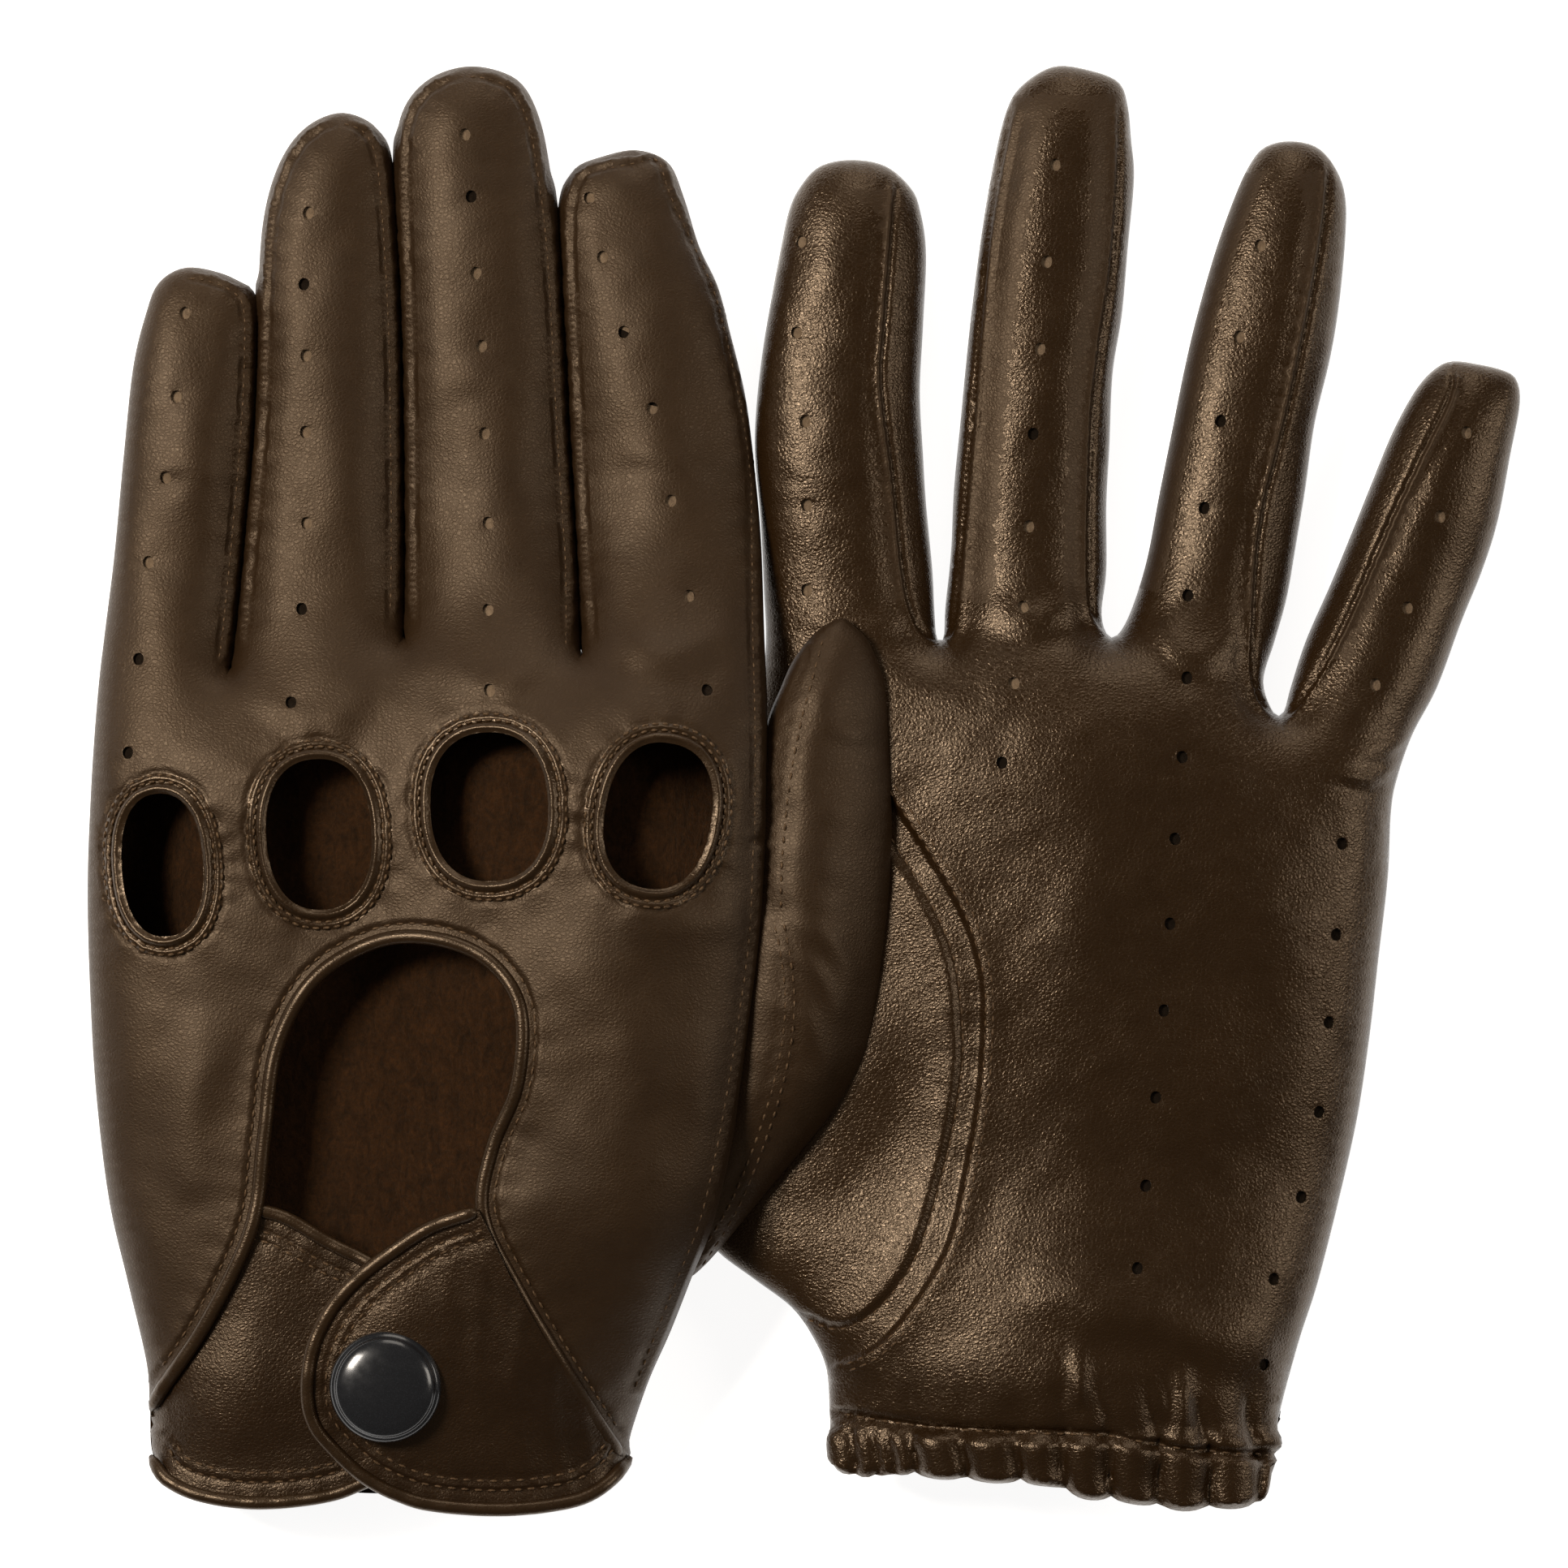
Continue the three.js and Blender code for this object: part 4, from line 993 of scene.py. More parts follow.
                # Seen from the palm: a groove, then the rolled edge of the strip between the fingers.
                over = d * side if key[1] == "left" else -d * side
                top += ends * (-0.42 * ridge(d, 0.34) + 0.40 * pitch * ridge(over - 0.8, 0.42)
                               - 0.34 * ridge(over - 2.0, 0.8) + 0.14 * ridge(over + 1.0, 0.8))
        if self.back_up:
            d = distance(co, self.side_seam)[0]
            top += 0.45 * ridge(d, 0.6) - 0.35 * ridge(d - 1.2, 0.5)
        else:
            for line, step in ((self.thumb_seam, 0.55), (self.thumb_inner, -0.35)):
                d, side, along = distance(co, line)
                signed = d * side
                top += step * np.tanh(signed / 0.5) * ridge(d, 3.5)
                top -= 0.38 * ridge(d, 0.5)
                top += 0.03 * ridge(d, 4) * np.sin(along * len(line) * 1.15)
            d = distance(co, self.hem)[0]
            below = smooth((-102 - y) / 3)
            gathers = pleats(x + 0.5 * np.sin(y / 2.3 + x / 9) + 0.12 * (y + 108))
            reach = ridge(np.maximum(y + 103, 0), 7) * (0.12 + 0.5 * smooth((x - 34) / 12))
            top += (gathers * 2.1 - 1.1) * np.where(y < -103, 1, reach) * smooth(self.away / 1.0 + 0.2)
            top -= 1.1 * ridge(d, 0.8)
            top += 1.0 * below
        for line, wide, height in FOLDS[self.name]:
            path = spline(line, False, 1.5)
            d, side, along = distance(co, path)
            ends = np.sin(np.clip(along, 0, 1) * math.pi) ** 0.6
            signed = d * side
            top += height * ends * ridge(d, wide)
            top -= 0.5 * height * ends * ridge(signed + wide * 1.5, wide)
        for hole in self.perforations:
            d = np.hypot(*(co - hole.mean(0)).T)
            top -= 0.12 * ridge(np.maximum(d - 0.8, 0), 0.55)
        for ring in self.knuckles.values():
            d, _, along = distance(co, ring, True)
            hole = inside(co, ring)
            turn = along * len(ring)
            roll = 0.75 * np.sqrt(np.clip(1 - ((d - 0.8) / 0.8)**2, 0, 1))
            channel = 0.38 * np.clip(1 - ((d - 2.45) / 0.72)**2, 0, 1)
            pitch = 0.72 + 0.28 * np.cos(turn * 2 * math.pi * 1.05 / 1.9)
            groove = -0.28 * ridge(d - 1.7, 0.22) - 0.32 * ridge(d - 3.25, 0.3)
            scallop = np.where(d > 3.3, np.exp(-(d - 3.3) / 1.7), 0)
            pucker = scallop * (0.30 * np.sin(turn * 1.55 + 1.2 * np.sin(turn * 0.31)) + 0.1)
            back += np.where(hole, 0, roll + channel * pitch + groove + pucker)
        loop = np.vstack([self.keyhole, self.keyhole[-1:] + (0, -12), self.keyhole[:1] + (0, -12)])
        self.window = loop
        d, _, along = distance(co, self.keyhole)
        out = ~inside(co, loop)
        scallop = np.where(d > 2, np.exp(-(d - 2) / 2.2), 0)
        pucker = scallop * 0.14 * np.sin(along * len(self.keyhole) * 1.5)
        back += np.where(out, -0.35 * ridge(d - 2.0, 0.35) + 0.18 * ridge(d - 2.9, 0.6) + pucker, 0)
        if self.back_up:
            top += back
        else:
            self.push(back * 0.7, "bottom")
        self.push(top * (0.25 + 0.75 * smooth(self.away / 1.0)), "top")
        self.n = vertex_normals(self.v, self.faces)
        self.top = Surface(self.v, self.top_faces, 1)
        self.bottom = Surface(self.v, self.bottom_faces, -1)
        self.back = self.top if self.back_up else self.bottom


# Creases between the pleats of the gathered hem, across the wrist.
CREASES = [2.5, 7.8, 11.3, 13.8, 17.5, 25.5, 34.2, 41.2, 48.5, 56.1, 64, 71.8, 78]


def pleats(x):
    """The bulging profile of the gathered hem across the wrist, 0 in a crease to about 1."""
    i = np.clip(np.searchsorted(CREASES, x) - 1, 0, len(CREASES) - 2)
    a, b = np.take(CREASES, i), np.take(CREASES, i + 1)
    t = np.clip((x - a) / (b - a), 0, 1)
    return (4 * t * (1 - t)) ** 0.62 * np.clip((b - a) / 5.5, 0.5, 1.1)


# Soft folds of each glove's upper face: line in plan, half-width and height.
FOLDS = {
    "upper": [
        ([(-9, -20), (-18, -22), (-30, -20)], 3.0, 0.7),
        ([(-92, -36), (-97, -50), (-99, -66)], 4.5, 0.8),
        ([(-40, -26), (-30, -36), (-24, -52)], 5.0, 0.9),
        ([(-60, 20), (-50, 16), (-40, 20)], 2.6, 0.5),
        ([(-88, 14), (-78, 10), (-68, 15)], 2.4, 0.4),
        ([(-32, 24), (-22, 20), (-12, 24)], 2.6, 0.5),
        ([(-35, 50), (-26, 53), (-14, 49)], 2.0, 0.35),
        ([(-63, 62), (-52, 65), (-41, 61)], 2.2, 0.3),
        ([(-107, 48), (-99, 51), (-91, 47)], 1.8, 0.3),
    ],
    "lower": [
        ([(34, -80), (52, -84), (66, -88), (75, -91)], 4.2, 1.0),
        ([(43, -89), (43.5, -94), (43, -99)], 1.3, 0.8),
        ([(59.5, -92), (60, -98), (59.8, -103)], 1.3, 0.9),
        ([(40, -20), (52, -34), (58, -54)], 6.5, 0.35),
        ([(84, 2), (90, 1), (95, 4)], 1.3, 0.6),
        ([(85, 4), (92, 5), (97, 8)], 1.0, 0.5),
        ([(-6, 52), (4, 49), (14, 50)], 1.6, 0.3),
        ([(-6, 47), (4, 46), (13, 44)], 1.3, 0.25),
        ([(28, 30), (36, 26), (45, 30)], 2.4, 0.6),
        ([(56, 26), (62, 20), (70, 24)], 2.4, 0.6),
        ([(0, 28), (8, 24), (17, 28)], 2.4, 0.5),
        ([(-3, -66), (6, -50), (12, -32)], 7.0, 0.9),
        ([(66, -10), (76, -30), (80, -52)], 6.0, 0.3),
    ],
}

NEIGHBOURS = {"upper": {"little": {"right": "ring"}, "ring": {"left": "little", "right": "middle"},
                        "middle": {"left": "ring", "right": "index"}, "index": {"left": "middle"}},
              "lower": {"index": {"right": "middle"}, "middle": {"left": "index", "right": "ring"},
                        "ring": {"left": "middle", "right": "little"}, "little": {"left": "ring"}}}


def leather_piece(glove, name, faces, node, digit=None, grain="leather", pits=(), thickness=LEATHER):
    """Closes some of a glove's faces into a piece of leather, with its punched holes' floors, painted
    light or painted dark as shade.
    """
    v, f, numbers, n = take(glove.v, glove.n, faces, thickness)
    for pit, dark in pits:
        used, inverse = np.unique(pit, return_inverse=True)
        first = len(v)
        v = np.vstack([v, glove.v[used] - glove.n[used] * PIT])
        n = np.vstack([n, glove.n[used]])
        f += (inverse.reshape(pit.shape) + first).tolist()
        # A pit's floor takes the painted shade material if it is dark, else the painted light one.
        numbers = np.concatenate([numbers, np.full(len(pit), 3 if dark else 2)])
    obj = piece(name, v, f, [grain, "suede", "punched", "shadow"], numbers, n)
    if digit:
        bend(obj, glove.name, digit)
    else:
        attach(obj, f"{glove.name}_hand")
    if node:
        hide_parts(node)


def build_leather(g):
    """Splits a glove's two sheets along its seams into the real panels."""
    hand = f"{g.name}_hand"
    co, tri = g.co, g.top_faces
    centre = co[tri].mean(1)
    count = len(tri)
    punched = np.full(count, -1)
    for i, hole in enumerate(g.perforations):
        punched[inside(centre, hole)] = i
    in_knuckle = np.zeros(count, bool)
    ring_of = {}
    for f, ring in g.knuckles.items():
        hole = inside(centre, ring)
        in_knuckle |= hole
        d = distance(centre, ring, True)[0]
        ring_of[f] = ~hole & (d < 3.25)
    window = inside(centre, g.window)
    digit_of = np.full(count, "", object)
    for f in FINGERS:
        at, way, _ = fold_line(g.name, f)
        region = g.fingers[f]
        if f == ("little" if g.back_up else "index"):
            region = np.vstack([g.outline_parts["left"][-3:], region])
        if f == ("index" if g.back_up else "little"):
            region = np.vstack([region, g.outline_parts["right"][:3]])
        digit_of[inside(centre, region) & (((centre - at) @ way) > 0)] = f
    pits_of = {}
    for i in range(len(g.perforations)):
        rows = np.flatnonzero(punched == i)
        if len(rows):
            pits_of.setdefault(digit_of[rows[0]], []).append((tri[rows], g.hole_painted_shade[i]))
    open_top = punched < 0
    for f in FINGERS:
        mine = digit_of == f
        line = g.fingers[f]
        tip = line[:, 1].argmax()
        strips = {}
        for side, other in NEIGHBOURS[g.name][f].items():
            edge = line[:tip + 1] if side == "left" else line[tip:]
            wrong = line[tip:] if side == "left" else line[:tip + 1]
            near, far = distance(centre, edge)[0], distance(centre, wrong)[0]
            strips[other] = (near < far) & mine & (centre[:, 1] < line[tip, 1] - 5)
            strips[other, "top"] = strips[other] & (near < (1.25 if g.back_up else 3.2))
            if not g.back_up and (f, side) in g.seams:
                seam = g.seams[(f, side)]
                d, s, _ = distance(centre, seam)
                beyond = s > 0 if side == "left" else s < 0
                strips[other, "top"] = strips[other] & beyond & (near < 7)
            strips[other, "bottom"] = strips[other] & (near < 4.2)
        used_top, used_bottom = np.zeros(count, bool), np.zeros(count, bool)
        for other in NEIGHBOURS[g.name][f].values():
            top_rows, bottom_rows = strips[other, "top"], strips[other, "bottom"]
            faces = np.vstack([g.top_faces[top_rows & open_top], g.bottom_faces[bottom_rows]])
            node = f"{g.name}_{f}_fourchette_by_{other}"
            leather_piece(g, node + "_leather", faces, node, f)
            used_top |= top_rows
            used_bottom |= bottom_rows
        faces = np.vstack([g.top_faces[mine & ~used_top & open_top],
                           g.bottom_faces[mine & ~used_bottom]])
        leather_piece(g, f"{g.name}_{f}_finger_leather", faces, f"{g.name}_{f}_finger", f,
                      "leather" if g.back_up else "palm", pits_of.get(f, ()))
    base = digit_of == ""
    rings = np.zeros(count, bool)
    back_faces, palm_faces = ((g.top_faces, g.bottom_faces) if g.back_up else
                              (g.bottom_faces, g.top_faces))
    for f in FINGERS:
        node = f"{g.name}_{f}_knuckle_ring"
        rings |= ring_of[f]
        leather_piece(g, node + "_leather", back_faces[ring_of[f] & base], node, grain="edge")
    back = base & ~in_knuckle & ~window & ~rings
    back &= (open_top if g.back_up else True)
    pits = pits_of.get("", ())
    leather_piece(g, f"{g.name}_back_leather", back_faces[back], f"{g.name}_back_panel",
                  pits=pits if g.back_up else ())
    if g.back_up:
        hem = base & (centre[:, 1] < -101)
    else:
        d, side, _ = distance(centre, g.hem)
        hem = base & (centre[:, 1] < -99) & (side < 0)
    palm = base & ~hem
    palm &= (True if g.back_up else open_top)
    thickness = np.full(len(g.v), LEATHER)
    if g.back_up:
        # The palm's flesh side lies high under the back's openings, as the glove is nearly flat.
        y = co[:, 1]
        fullness = smooth((g.away - 3) / 16) * smooth((-y + 14) / 12) * smooth((y + 99) / 10)
        thickness[g.bottom_of] = LEATHER + PADDING * fullness
    leather_piece(g, f"{g.name}_palm_leather", palm_faces[palm], f"{g.name}_palm_panel",
                  grain="palm", pits=() if g.back_up else pits, thickness=thickness)
    leather_piece(g, f"{g.name}_hem_leather", palm_faces[hem], f"{g.name}_palm_hem", grain="palm")
    band = hem & (centre[:, 1] > -109) & (centre[:, 1] < -102.5)
    v, f, _, n = take(g.v - g.n * (LEATHER + 0.25), g.n, palm_faces[band], ELASTIC)
    elastic = piece(f"{g.name}_elastic_band", v, f, ["elastic"], None, n)
    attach(elastic, hand)
    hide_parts(f"{g.name}_wrist_elastic")


upper = Glove("upper", UPPER_OUTLINE, ("left", *FINGERS, "right", "cuff"), UPPER_HOLES)
lower = Glove("lower", LOWER_OUTLINE, ("left", *FINGERS[::-1], "right", "cuff"), LOWER_HOLES)
build_leather(upper)
build_leather(lower)


# ---------------------------------------------------------------- thumbs

def thumb(outline, rise, fill, crown, tilt=0.0):
    """A thumb as one closed, filled skin: (plan points, vertices, normals, top and bottom faces)."""
    loop = spline(outline, True, 1.0)
    rails = [offset(loop, -d, True) for d in (0.3, 0.8, 1.5, 2.4)] + [offset(loop, d, True)
                                                                     for d in (0.3, 0.8, 1.5, 2.4)]
    co, tri = triangulate(loop, [], [], rails, 1.3)
    away = distance(co, loop, True)[0]
    rim = away < RIM
    h = inflate(co, tri, rim, fill=fill)
    x, y = co[:, 0], co[:, 1]
    middle = np.interp(y, [r[0] for r in rise], [r[1] for r in rise]) - tilt * smooth((x + 2) / 14)
    soft = smooth(away / 6)
    relief = soft * (0.2 * waves(x, y, 17, 21) + 0.05 * waves(x, y, 7, 22))
    fresh = np.flatnonzero(~rim)
    other = np.arange(len(co))
    other[fresh] = len(co) + np.arange(len(fresh))
    low = np.maximum(middle - 0.35 * h, 0.3)
    v = np.vstack([np.column_stack([co, middle + crown * h + relief]),
                   np.column_stack([co[fresh], low[fresh]])])
    top = facing(co, tri)
    bottom = other[top[:, ::-1]]
    return co, away, v, vertex_normals(v, np.vstack([top, bottom])), top, bottom


def stroke(v, n, index, co, away, line, wide, height):
    """Raises a fold on a thumb's upper side, with a hollow along its right."""
    path = spline(line, False, 1.2)
    d, side, along = distance(co, path)
    ends = np.sin(np.clip(along, 0, 1) * math.pi) ** 0.6
    amount = height * ends * (ridge(d, wide) - 0.5 * ridge(d * side + wide * 1.5, wide))
    amount = np.where(away < RIM, 0, amount)
    v[index] += n[index] * amount[:, None]


def build_upper_thumb():
    """The upper glove's thumb and its gusset; returns the thumb's upper side."""
    co, away, v, n, top, bottom = thumb(UPPER_THUMB, UPPER_THUMB_RISE, 0.74, 1.2, 2.4)
    index = np.arange(len(co))
    for line, wide, height in (
            ([(-4, -21), (3, -24), (8, -32)], 1.7, 0.5), ([(-4, -26), (2, -30), (6, -38)], 1.3, 0.4),
            ([(-6, -14), (0, -18), (6, -20)], 2.2, 0.3), ([(-5, -34), (0, -38), (4, -46)], 1.5, 0.4),
            ([(2, 10), (8, 8), (12, 9)], 1.6, 0.3), ([(-3, 0), (5, -4), (12, -4)], 3.0, 0.35)):
        stroke(v, n, index, co, away, line, wide, height)
    for line in (GUSSET_SEAM, UPPER_THUMB_SEAM):
        d = distance(co, spline(line, False, 1.0))[0]
        amount = np.where(away < RIM, 0, 0.3 * ridge(d, 0.5) - 0.35 * ridge(d - 1.0, 0.5))
        v[index] += n[index] * amount[:, None]
    n = vertex_normals(v, np.vstack([top, bottom]))
    centre = co[top].mean(1)
    at, way, _ = fold_line("upper", "thumb")
    d, side, _ = distance(centre, spline(GUSSET_SEAM, False, 1.0))
    gusset = (side > 0) & (((centre - at) @ way) < 0.5) & (centre[:, 1] < -24)
    vv, f, numbers, nn = take(v, n, top[gusset], LEATHER)
    strip = piece("upper_thumb_gusset_leather", vv, f, ["leather", "suede"], numbers, nn)
    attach(strip, "upper_hand")
    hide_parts("upper_thumb_gusset")
    vv, f, numbers, nn = take(v, n, np.vstack([top[~gusset], bottom]), LEATHER)
    skin = piece("upper_thumb_leather", vv, f, ["leather", "suede"], numbers, nn)
    bend(skin, "upper", "thumb")
    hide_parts("upper_thumb")
    return Surface(v, top, 1)


def build_lower_thumb():
    """The lower glove's thumb, folded under its hand."""
    _, _, v, n, top, bottom = thumb(LOWER_THUMB, LOWER_THUMB_RISE, 0.5, 1.0)
    vv, f, numbers, nn = take(v, n, np.vstack([top, bottom]), LEATHER)
    skin = piece("lower_thumb_leather", vv, f, ["palm", "suede"], numbers, nn)
    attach(skin, "lower_hand")
    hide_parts("lower_thumb")


thumb_top = build_upper_thumb()
build_lower_thumb()


# ---------------------------------------------------------------- straps, tabs, bindings and snap

def merged(parts):
    """Several (vertices, faces) as one."""
    v, f = [], []
    for pv, pf in parts:
        first = len(v)
        v.extend(pv)
        f.extend([[first + i for i in face] for face in pf])
    return np.array(v), f


def sheet(g, name, node, body, loop, lift, thickness, edge, rows, creases=()):
    """A flat leather tab laid over the wrist, with its stitched grooves; returns its upper side."""
    up = 1 if g.back_up else -1
    turn = np.sign(sum(a[0] * b[1] - a[1] * b[0] for a, b in zip(loop, np.roll(loop, -1, 0))))
    rails = [offset(loop, d * turn, True) for d in (0.3, 0.7, 1.2, 1.8, 2.3, 2.8, 3.3, 3.8, 4.4)]
    co, tri = triangulate(loop, [], [], rails, 1.1)
    places = []
    for x, y in co:
        hit = g.back.tree.ray_cast(Vector((x, y, 200 * up)), Vector((0, 0, -up)))[0]
        places.append(hit.z if hit else np.nan)
    z = np.array(places)
    known = ~np.isnan(z)
    if not known.all():
        # Past the glove's edge, a tab keeps the height of the nearest leather.
        tree, heights = tree_of(co[known]), z[known]
        for k in np.flatnonzero(~known):
            z[k] = heights[tree.find((*co[k], 0))[1]]
    z = z + up * lift(co[:, 0], co[:, 1])
    v = np.column_stack([co, z])
    tri = facing(co, tri, up)
    n = vertex_normals(v, tri)
    d, _, along = distance(co, edge)
    amount = np.zeros(len(co))
    for row in rows:
        amount -= 0.34 * ridge(d - row, 0.36)
    amount += 0.22 * ridge(d - (rows[0] + rows[-1]) / 2, 0.5)
    amount += 0.10 * ridge(d, 5) * np.sin(along * len(edge) * 1.4)
    for line, wide, height in creases:
        amount += height * ridge(distance(co, spline(line, False, 1.0))[0], wide)
    v = v + n * amount[:, None]
    n = vertex_normals(v, tri)
    vv, f, numbers, nn = take(v, n, tri, thickness)
    obj = piece(name, vv, f, ["tab", "suede"], numbers, nn)
    carry(obj, g, body)
    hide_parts(node)
    return Surface(v, tri, up)


def trim(g, name, node, body, parts, material):
    """A binding or a row of stitches, on the hand or on the strap."""
    v, f = merged(parts)
    obj = piece(name, v, f, [material])
    carry(obj, g, body)
    if node:
        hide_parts(node)


def stitch_row(surface, line, lift=0.02, length=1.35, width=0.5, height=0.26, gap=0.75):
    """Stitches along a line in plan, set on a surface."""
    places, normals = surface.drop(line, lift)
    return capsules(places, normals, length, width, height, gap)


def inner_edge(line, d):
    """A line d inside a tab's edge."""
    a, b = offset(line, d), offset(line, -d)
    middle = line.mean(0)
    return a if np.abs(a - middle).sum() < np.abs(b - middle).sum() else b


def build_wrist(g):
    """The keyhole's binding, the under tab, the strap over it and the snap."""
    up = 1 if g.back_up else -1
    hand, strap = f"{g.name}_hand", f"{g.name}_strap"
    trim_edge = g.keyhole[inside(g.keyhole, offset(g.outline, -0.4, True))]
    places, normals = g.back.drop(trim_edge, 0.1)
    trim(g, f"{g.name}_keyhole_edge", f"{g.name}_window_binding", hand,
         [tube(places, normals, 1.15, 0.85)], "edge")

    # The under tab is the wrist's outer end; the strap comes over it from the thumb's side.
    root = g.on_back(spline([(-104.5, -107.5), (-104, -99), (-95.5, -86), (-88, -70.5)]))
    loop = resample(np.vstack([g.under_tab, root, g.under_tab[:1]]), 1.1, True)
    sink = 0.9 if g.back_up else 0.2
    under = sheet(g, f"{g.name}_under_tab_leather", f"{g.name}_under_tab", hand, loop,
                  lambda x, y: -sink + 0 * x, 1.2, g.under_tab, (3.2, 4.7))
    places, normals = under.drop(g.under_tab, 0.15)
    trim(g, f"{g.name}_under_tab_edge", f"{g.name}_under_tab_binding", hand,
         [tube(places, normals, 1.1, 0.8)], "edge")
    rows = [stitch_row(under, inner_edge(g.under_tab, d)) for d in (3.2, 4.7)]
    trim(g, f"{g.name}_under_tab_stitches", None, hand, rows, "thread")

    root = g.on_back(spline([(-28, -107.5), (-38, -93), (-45.5, -80), (-51.5, -67.5)]))
    loop = resample(np.vstack([g.strap, root[1:-1], g.strap[:1]]), 1.1, True)
    rise = (2.0, 1.0) if g.back_up else (1.1, 0.6)
    wrinkles = [(g.on_back(line).tolist(), wide, tall) for line, wide, tall in STRAP_WRINKLES]
    centre = g.cap_at

    def strap_lift(x, y):
        near = np.exp(-((x - centre[0])**2 + (y - centre[1])**2) / 14.0**2)
        over = smooth((1 - (x - centre[0]) * up / 34) if g.back_up else (1 + (x - centre[0]) / 34))
        return rise[1] + rise[0] * over - 0.35 * near

    tab = sheet(g, f"{g.name}_strap_leather", f"{g.name}_strap_tab", strap, loop, strap_lift, 1.3,
                g.strap, (3.0, 4.5), wrinkles)
    places, normals = tab.drop(g.strap, 0.15)
    trim(g, f"{g.name}_strap_edge", f"{g.name}_strap_binding", strap,
         [tube(places, normals, 1.12, 0.85)], "edge")
    rows = [stitch_row(tab, inner_edge(g.strap, d)) for d in (3.0, 4.5)]
    trim(g, f"{g.name}_strap_stitches", None, strap, rows, "thread")

    # The snap's domed cap, with a fine rolled rim.
    base = tab.drop([g.cap_at])[0][0][2] + up * 0.1
    profile = [(0, -0.6), (8.2, -0.6), (8.75, -0.1), (8.85, 0.45), (8.6, 0.95), (8.25, 1.25),
               (7.9, 1.42)]
    profile += [(7.9 * math.cos(a), 1.42 + 2.1 * math.sin(a) ** 0.9)
                for a in np.linspace(0.05, math.pi / 2, 22)][:-1] + [(0.02, 3.52)]
    v, f = lathe(profile, (g.cap_at[0], g.cap_at[1], base), up, 72)
    cap = piece(f"{g.name}_cap_dome", v, f, ["enamel"])
    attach(cap, strap)
    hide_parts(f"{g.name}_snap_cap")


build_wrist(upper)
build_wrist(lower)
for g in (upper, lower):
    for node in ("snap_socket", "snap_stud", "snap_post"):
        kept_node = frame["nodes"][f"{g.name}_{node}"]
        kept_node.data.materials.clear()
        kept_node.data.materials.append(MATERIALS["metal"])


# ---------------------------------------------------------------- stitching

def sew(g, rows_by_digit):
    """Places stitches on a glove's upper face, split into one piece per digit."""
    for digit, parts in rows_by_digit.items():
        if not parts:
            continue
        v, f = merged(parts)
        obj = piece(f"{g.name}_{digit or 'hand'}_stitches", v, f, ["thread"])
        if digit:
            bend(obj, g.name, digit)
        else:
            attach(obj, f"{g.name}_hand")


def split_at_fold(g, digit, line):
    """A seam's points beyond the digit's fold and before it."""
    at, way, _ = fold_line(g.name, digit)
    beyond = ((line - at) @ way) > 0
    return line[beyond], line[~beyond]


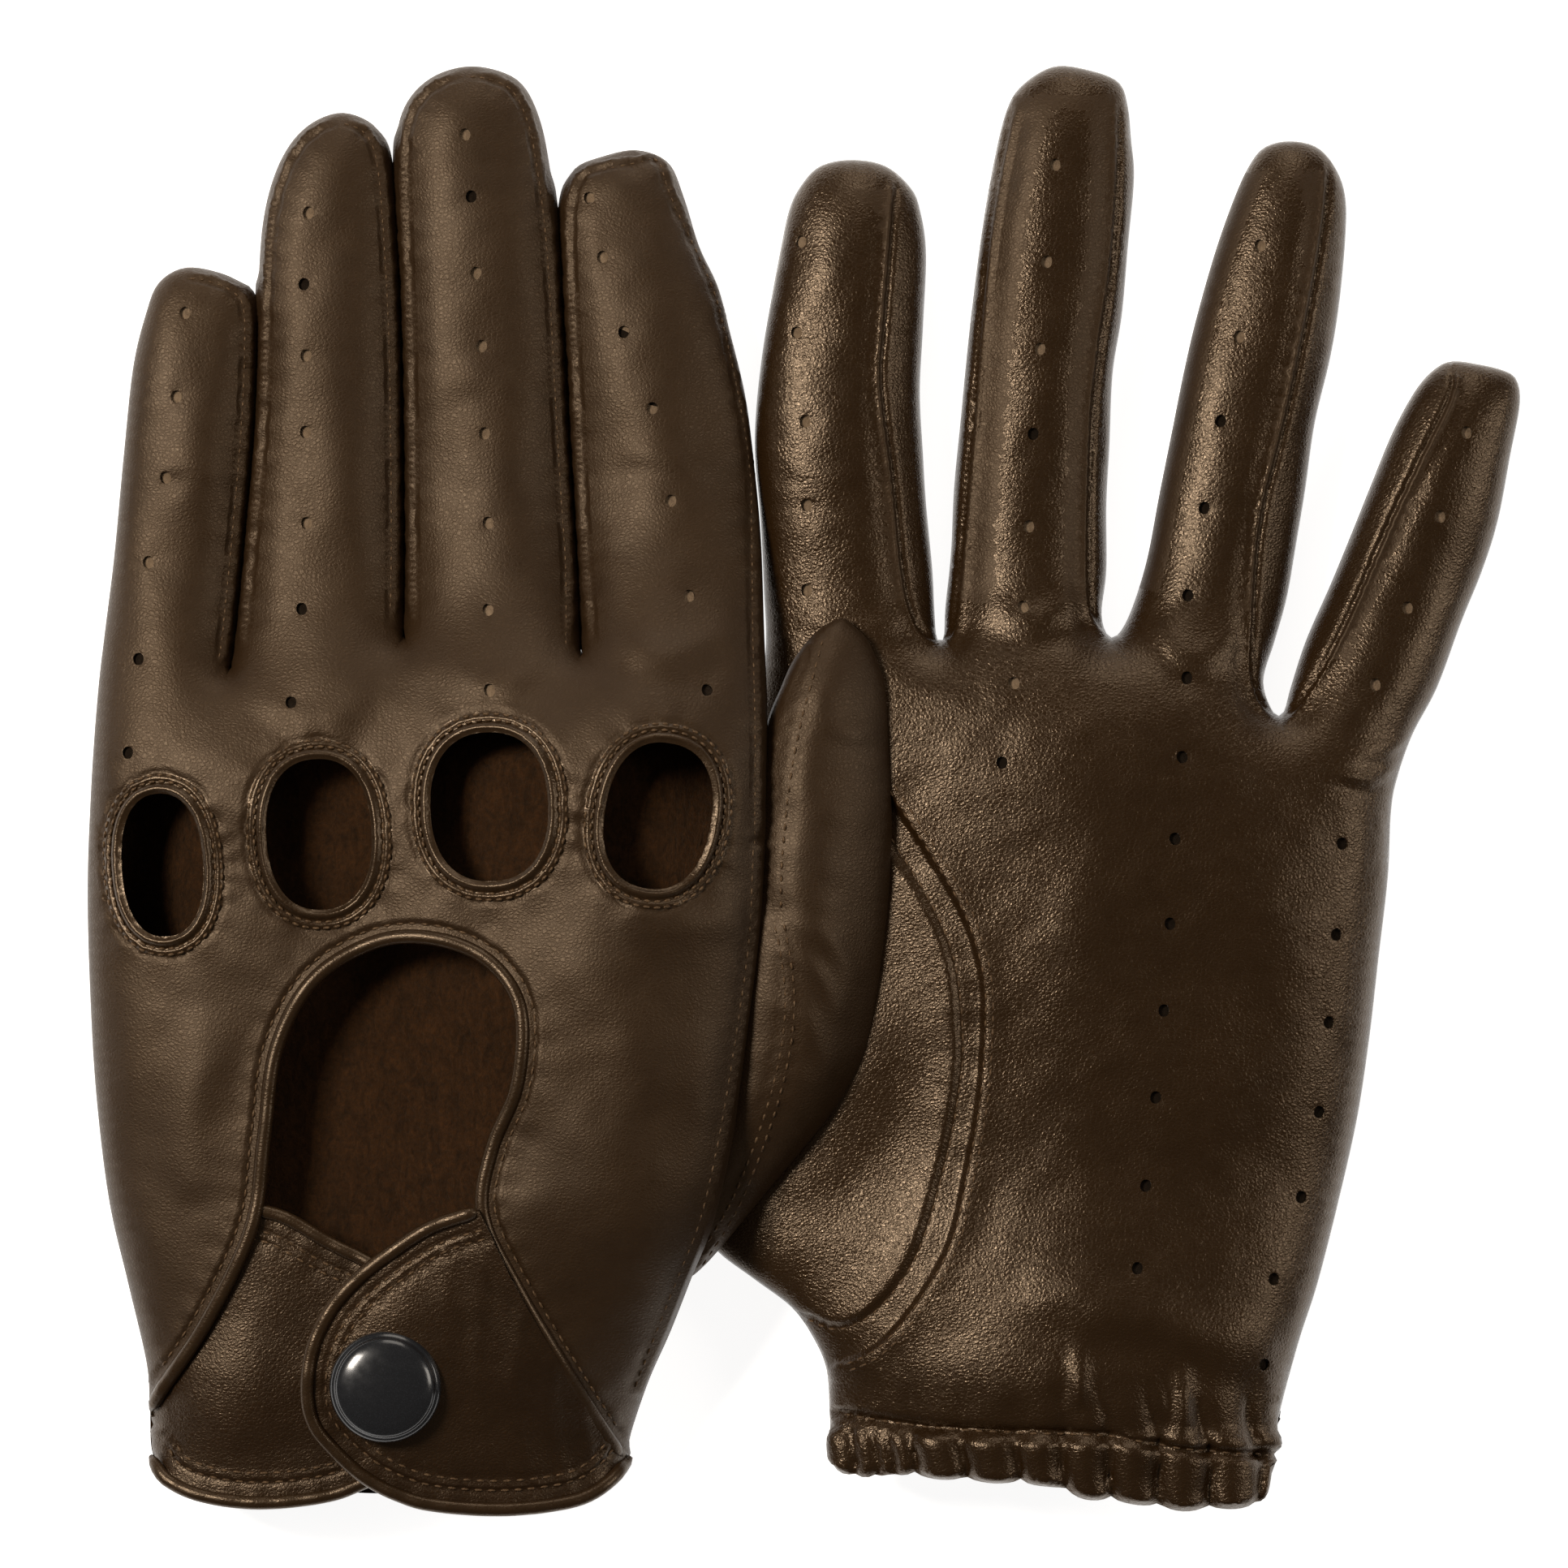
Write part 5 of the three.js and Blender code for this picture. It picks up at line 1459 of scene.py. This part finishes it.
def build_stitches(g):
    """Thread along a glove's seams, round its openings and along its hem."""
    sewn = offset(g.outline, -0.7, True)
    rows = {f: [] for f in FINGERS}
    rows[""] = []
    for (digit, side), line in g.seams.items() if g.back_up else ():
        on_finger, on_hand = split_at_fold(g, digit, line)
        for part, key in ((on_finger, digit), (on_hand, "")):
            if len(part) > 4:
                shift = 0.7 if side == "left" else -0.7
                row = offset(part, shift)
                row = row[inside(row, sewn)]
                if len(row) > 4:
                    rows[key].append(stitch_row(g.top, row, -0.06, 0.9, 0.34, 0.2, 0.6))
    for ring in g.knuckles.values():
        for d in (2.02, 2.9):
            line = offset(ring, d if g.back_up else -d, True)
            if inside(line[:1], ring)[0]:
                line = offset(ring, -d if g.back_up else d, True)
            line = np.vstack([line, line[:1]])
            rows[""].append(stitch_row(g.back, line, 0.04, 1.15, 0.5, 0.3, 0.5))
    line = offset(g.keyhole, 2.05)
    if inside(line[len(line) // 2][None], g.window)[0]:
        line = offset(g.keyhole, -2.05)
    line = line[inside(line, offset(g.outline, -1.5, True))]
    rows[""].append(stitch_row(g.back, line[1:-1], 0.0))
    if g.back_up:
        rows[""].append(stitch_row(g.top, offset(g.side_seam, -0.9), -0.05, 1.2, 0.42, 0.22, 0.8))
    else:
        for line, shift in ((g.thumb_seam, 0.75), (g.thumb_seam, 1.9), (g.thumb_inner, 0.6)):
            rows[""].append(stitch_row(g.top, offset(line, shift), -0.02, 1.3, 0.46, 0.26, 0.8))
        line = g.hem[inside(g.hem, offset(g.outline, -1.2, True))]
        rows[""].append(stitch_row(g.top, line, 0.05, 1.3, 0.5, 0.26, 0.9))
    sew(g, rows)


build_stitches(upper)
build_stitches(lower)
v, f = merged([
    stitch_row(thumb_top, offset(spline(line, False, 1.0), shift), 0.0, 1.2, 0.44, 0.24, 0.8)
    for line, shift in ((UPPER_THUMB_SEAM, 0.75), (GUSSET_SEAM, 0.7), (GUSSET_SEAM, -0.7))])
obj = piece("upper_thumb_stitches", v, f, ["thread"])
bend(obj, "upper", "thumb")


# ---------------------------------------------------------------- floor, light and camera

def floor():
    bpy.ops.mesh.primitive_plane_add(size=6, location=(0, 0, -0.0004))
    plane = bpy.context.object
    plane.name = "floor"
    plane.data.materials.append(paper("pale_paper"))


def softbox(name, at, size, watts):
    """A square lamp aimed at the middle of the pair."""
    data = bpy.data.lights.new(name, "AREA")
    data.energy = watts
    data.color = (1.0, 0.92, 0.82)
    data.size = size
    lamp = bpy.data.objects.new(name, data)
    lamp.location = at
    lamp.rotation_euler = (Vector((0, 0, 0)) - Vector(at)).to_track_quat("-Z", "Y").to_euler()
    bpy.context.collection.objects.link(lamp)


def light():
    world = bpy.data.worlds.new("soft_room")
    world.use_nodes = True
    world.node_tree.nodes["Background"].inputs["Strength"].default_value = 0.08
    world.node_tree.nodes["Background"].inputs["Color"].default_value = (1, 0.93, 0.85, 1)
    bpy.context.scene.world = world
    bpy.context.scene.view_settings.view_transform = "Standard"
    softbox("left_key", (-0.59, 0.26, 0.79), 0.26, 8.2)
    softbox("right_fill", (0.84, 0.10, 0.58), 0.36, 2.2)
    softbox("far_rim", (0.1, 0.95, 0.45), 0.5, 2.2)


def camera():
    width = 0.2512  # what the photograph spans at the gloves, m
    data = bpy.data.cameras.new("camera")
    data.lens = 200
    data.sensor_width = 36
    data.clip_start = 0.05
    obj = bpy.data.objects.new("camera", data)
    shift = SHIFT * MM
    obj.location = (-0.00335 + shift[0], 0.0 + shift[1], 0.012 + width * data.lens / data.sensor_width)
    bpy.context.collection.objects.link(obj)
    bpy.context.scene.camera = obj


floor()
light()
camera()
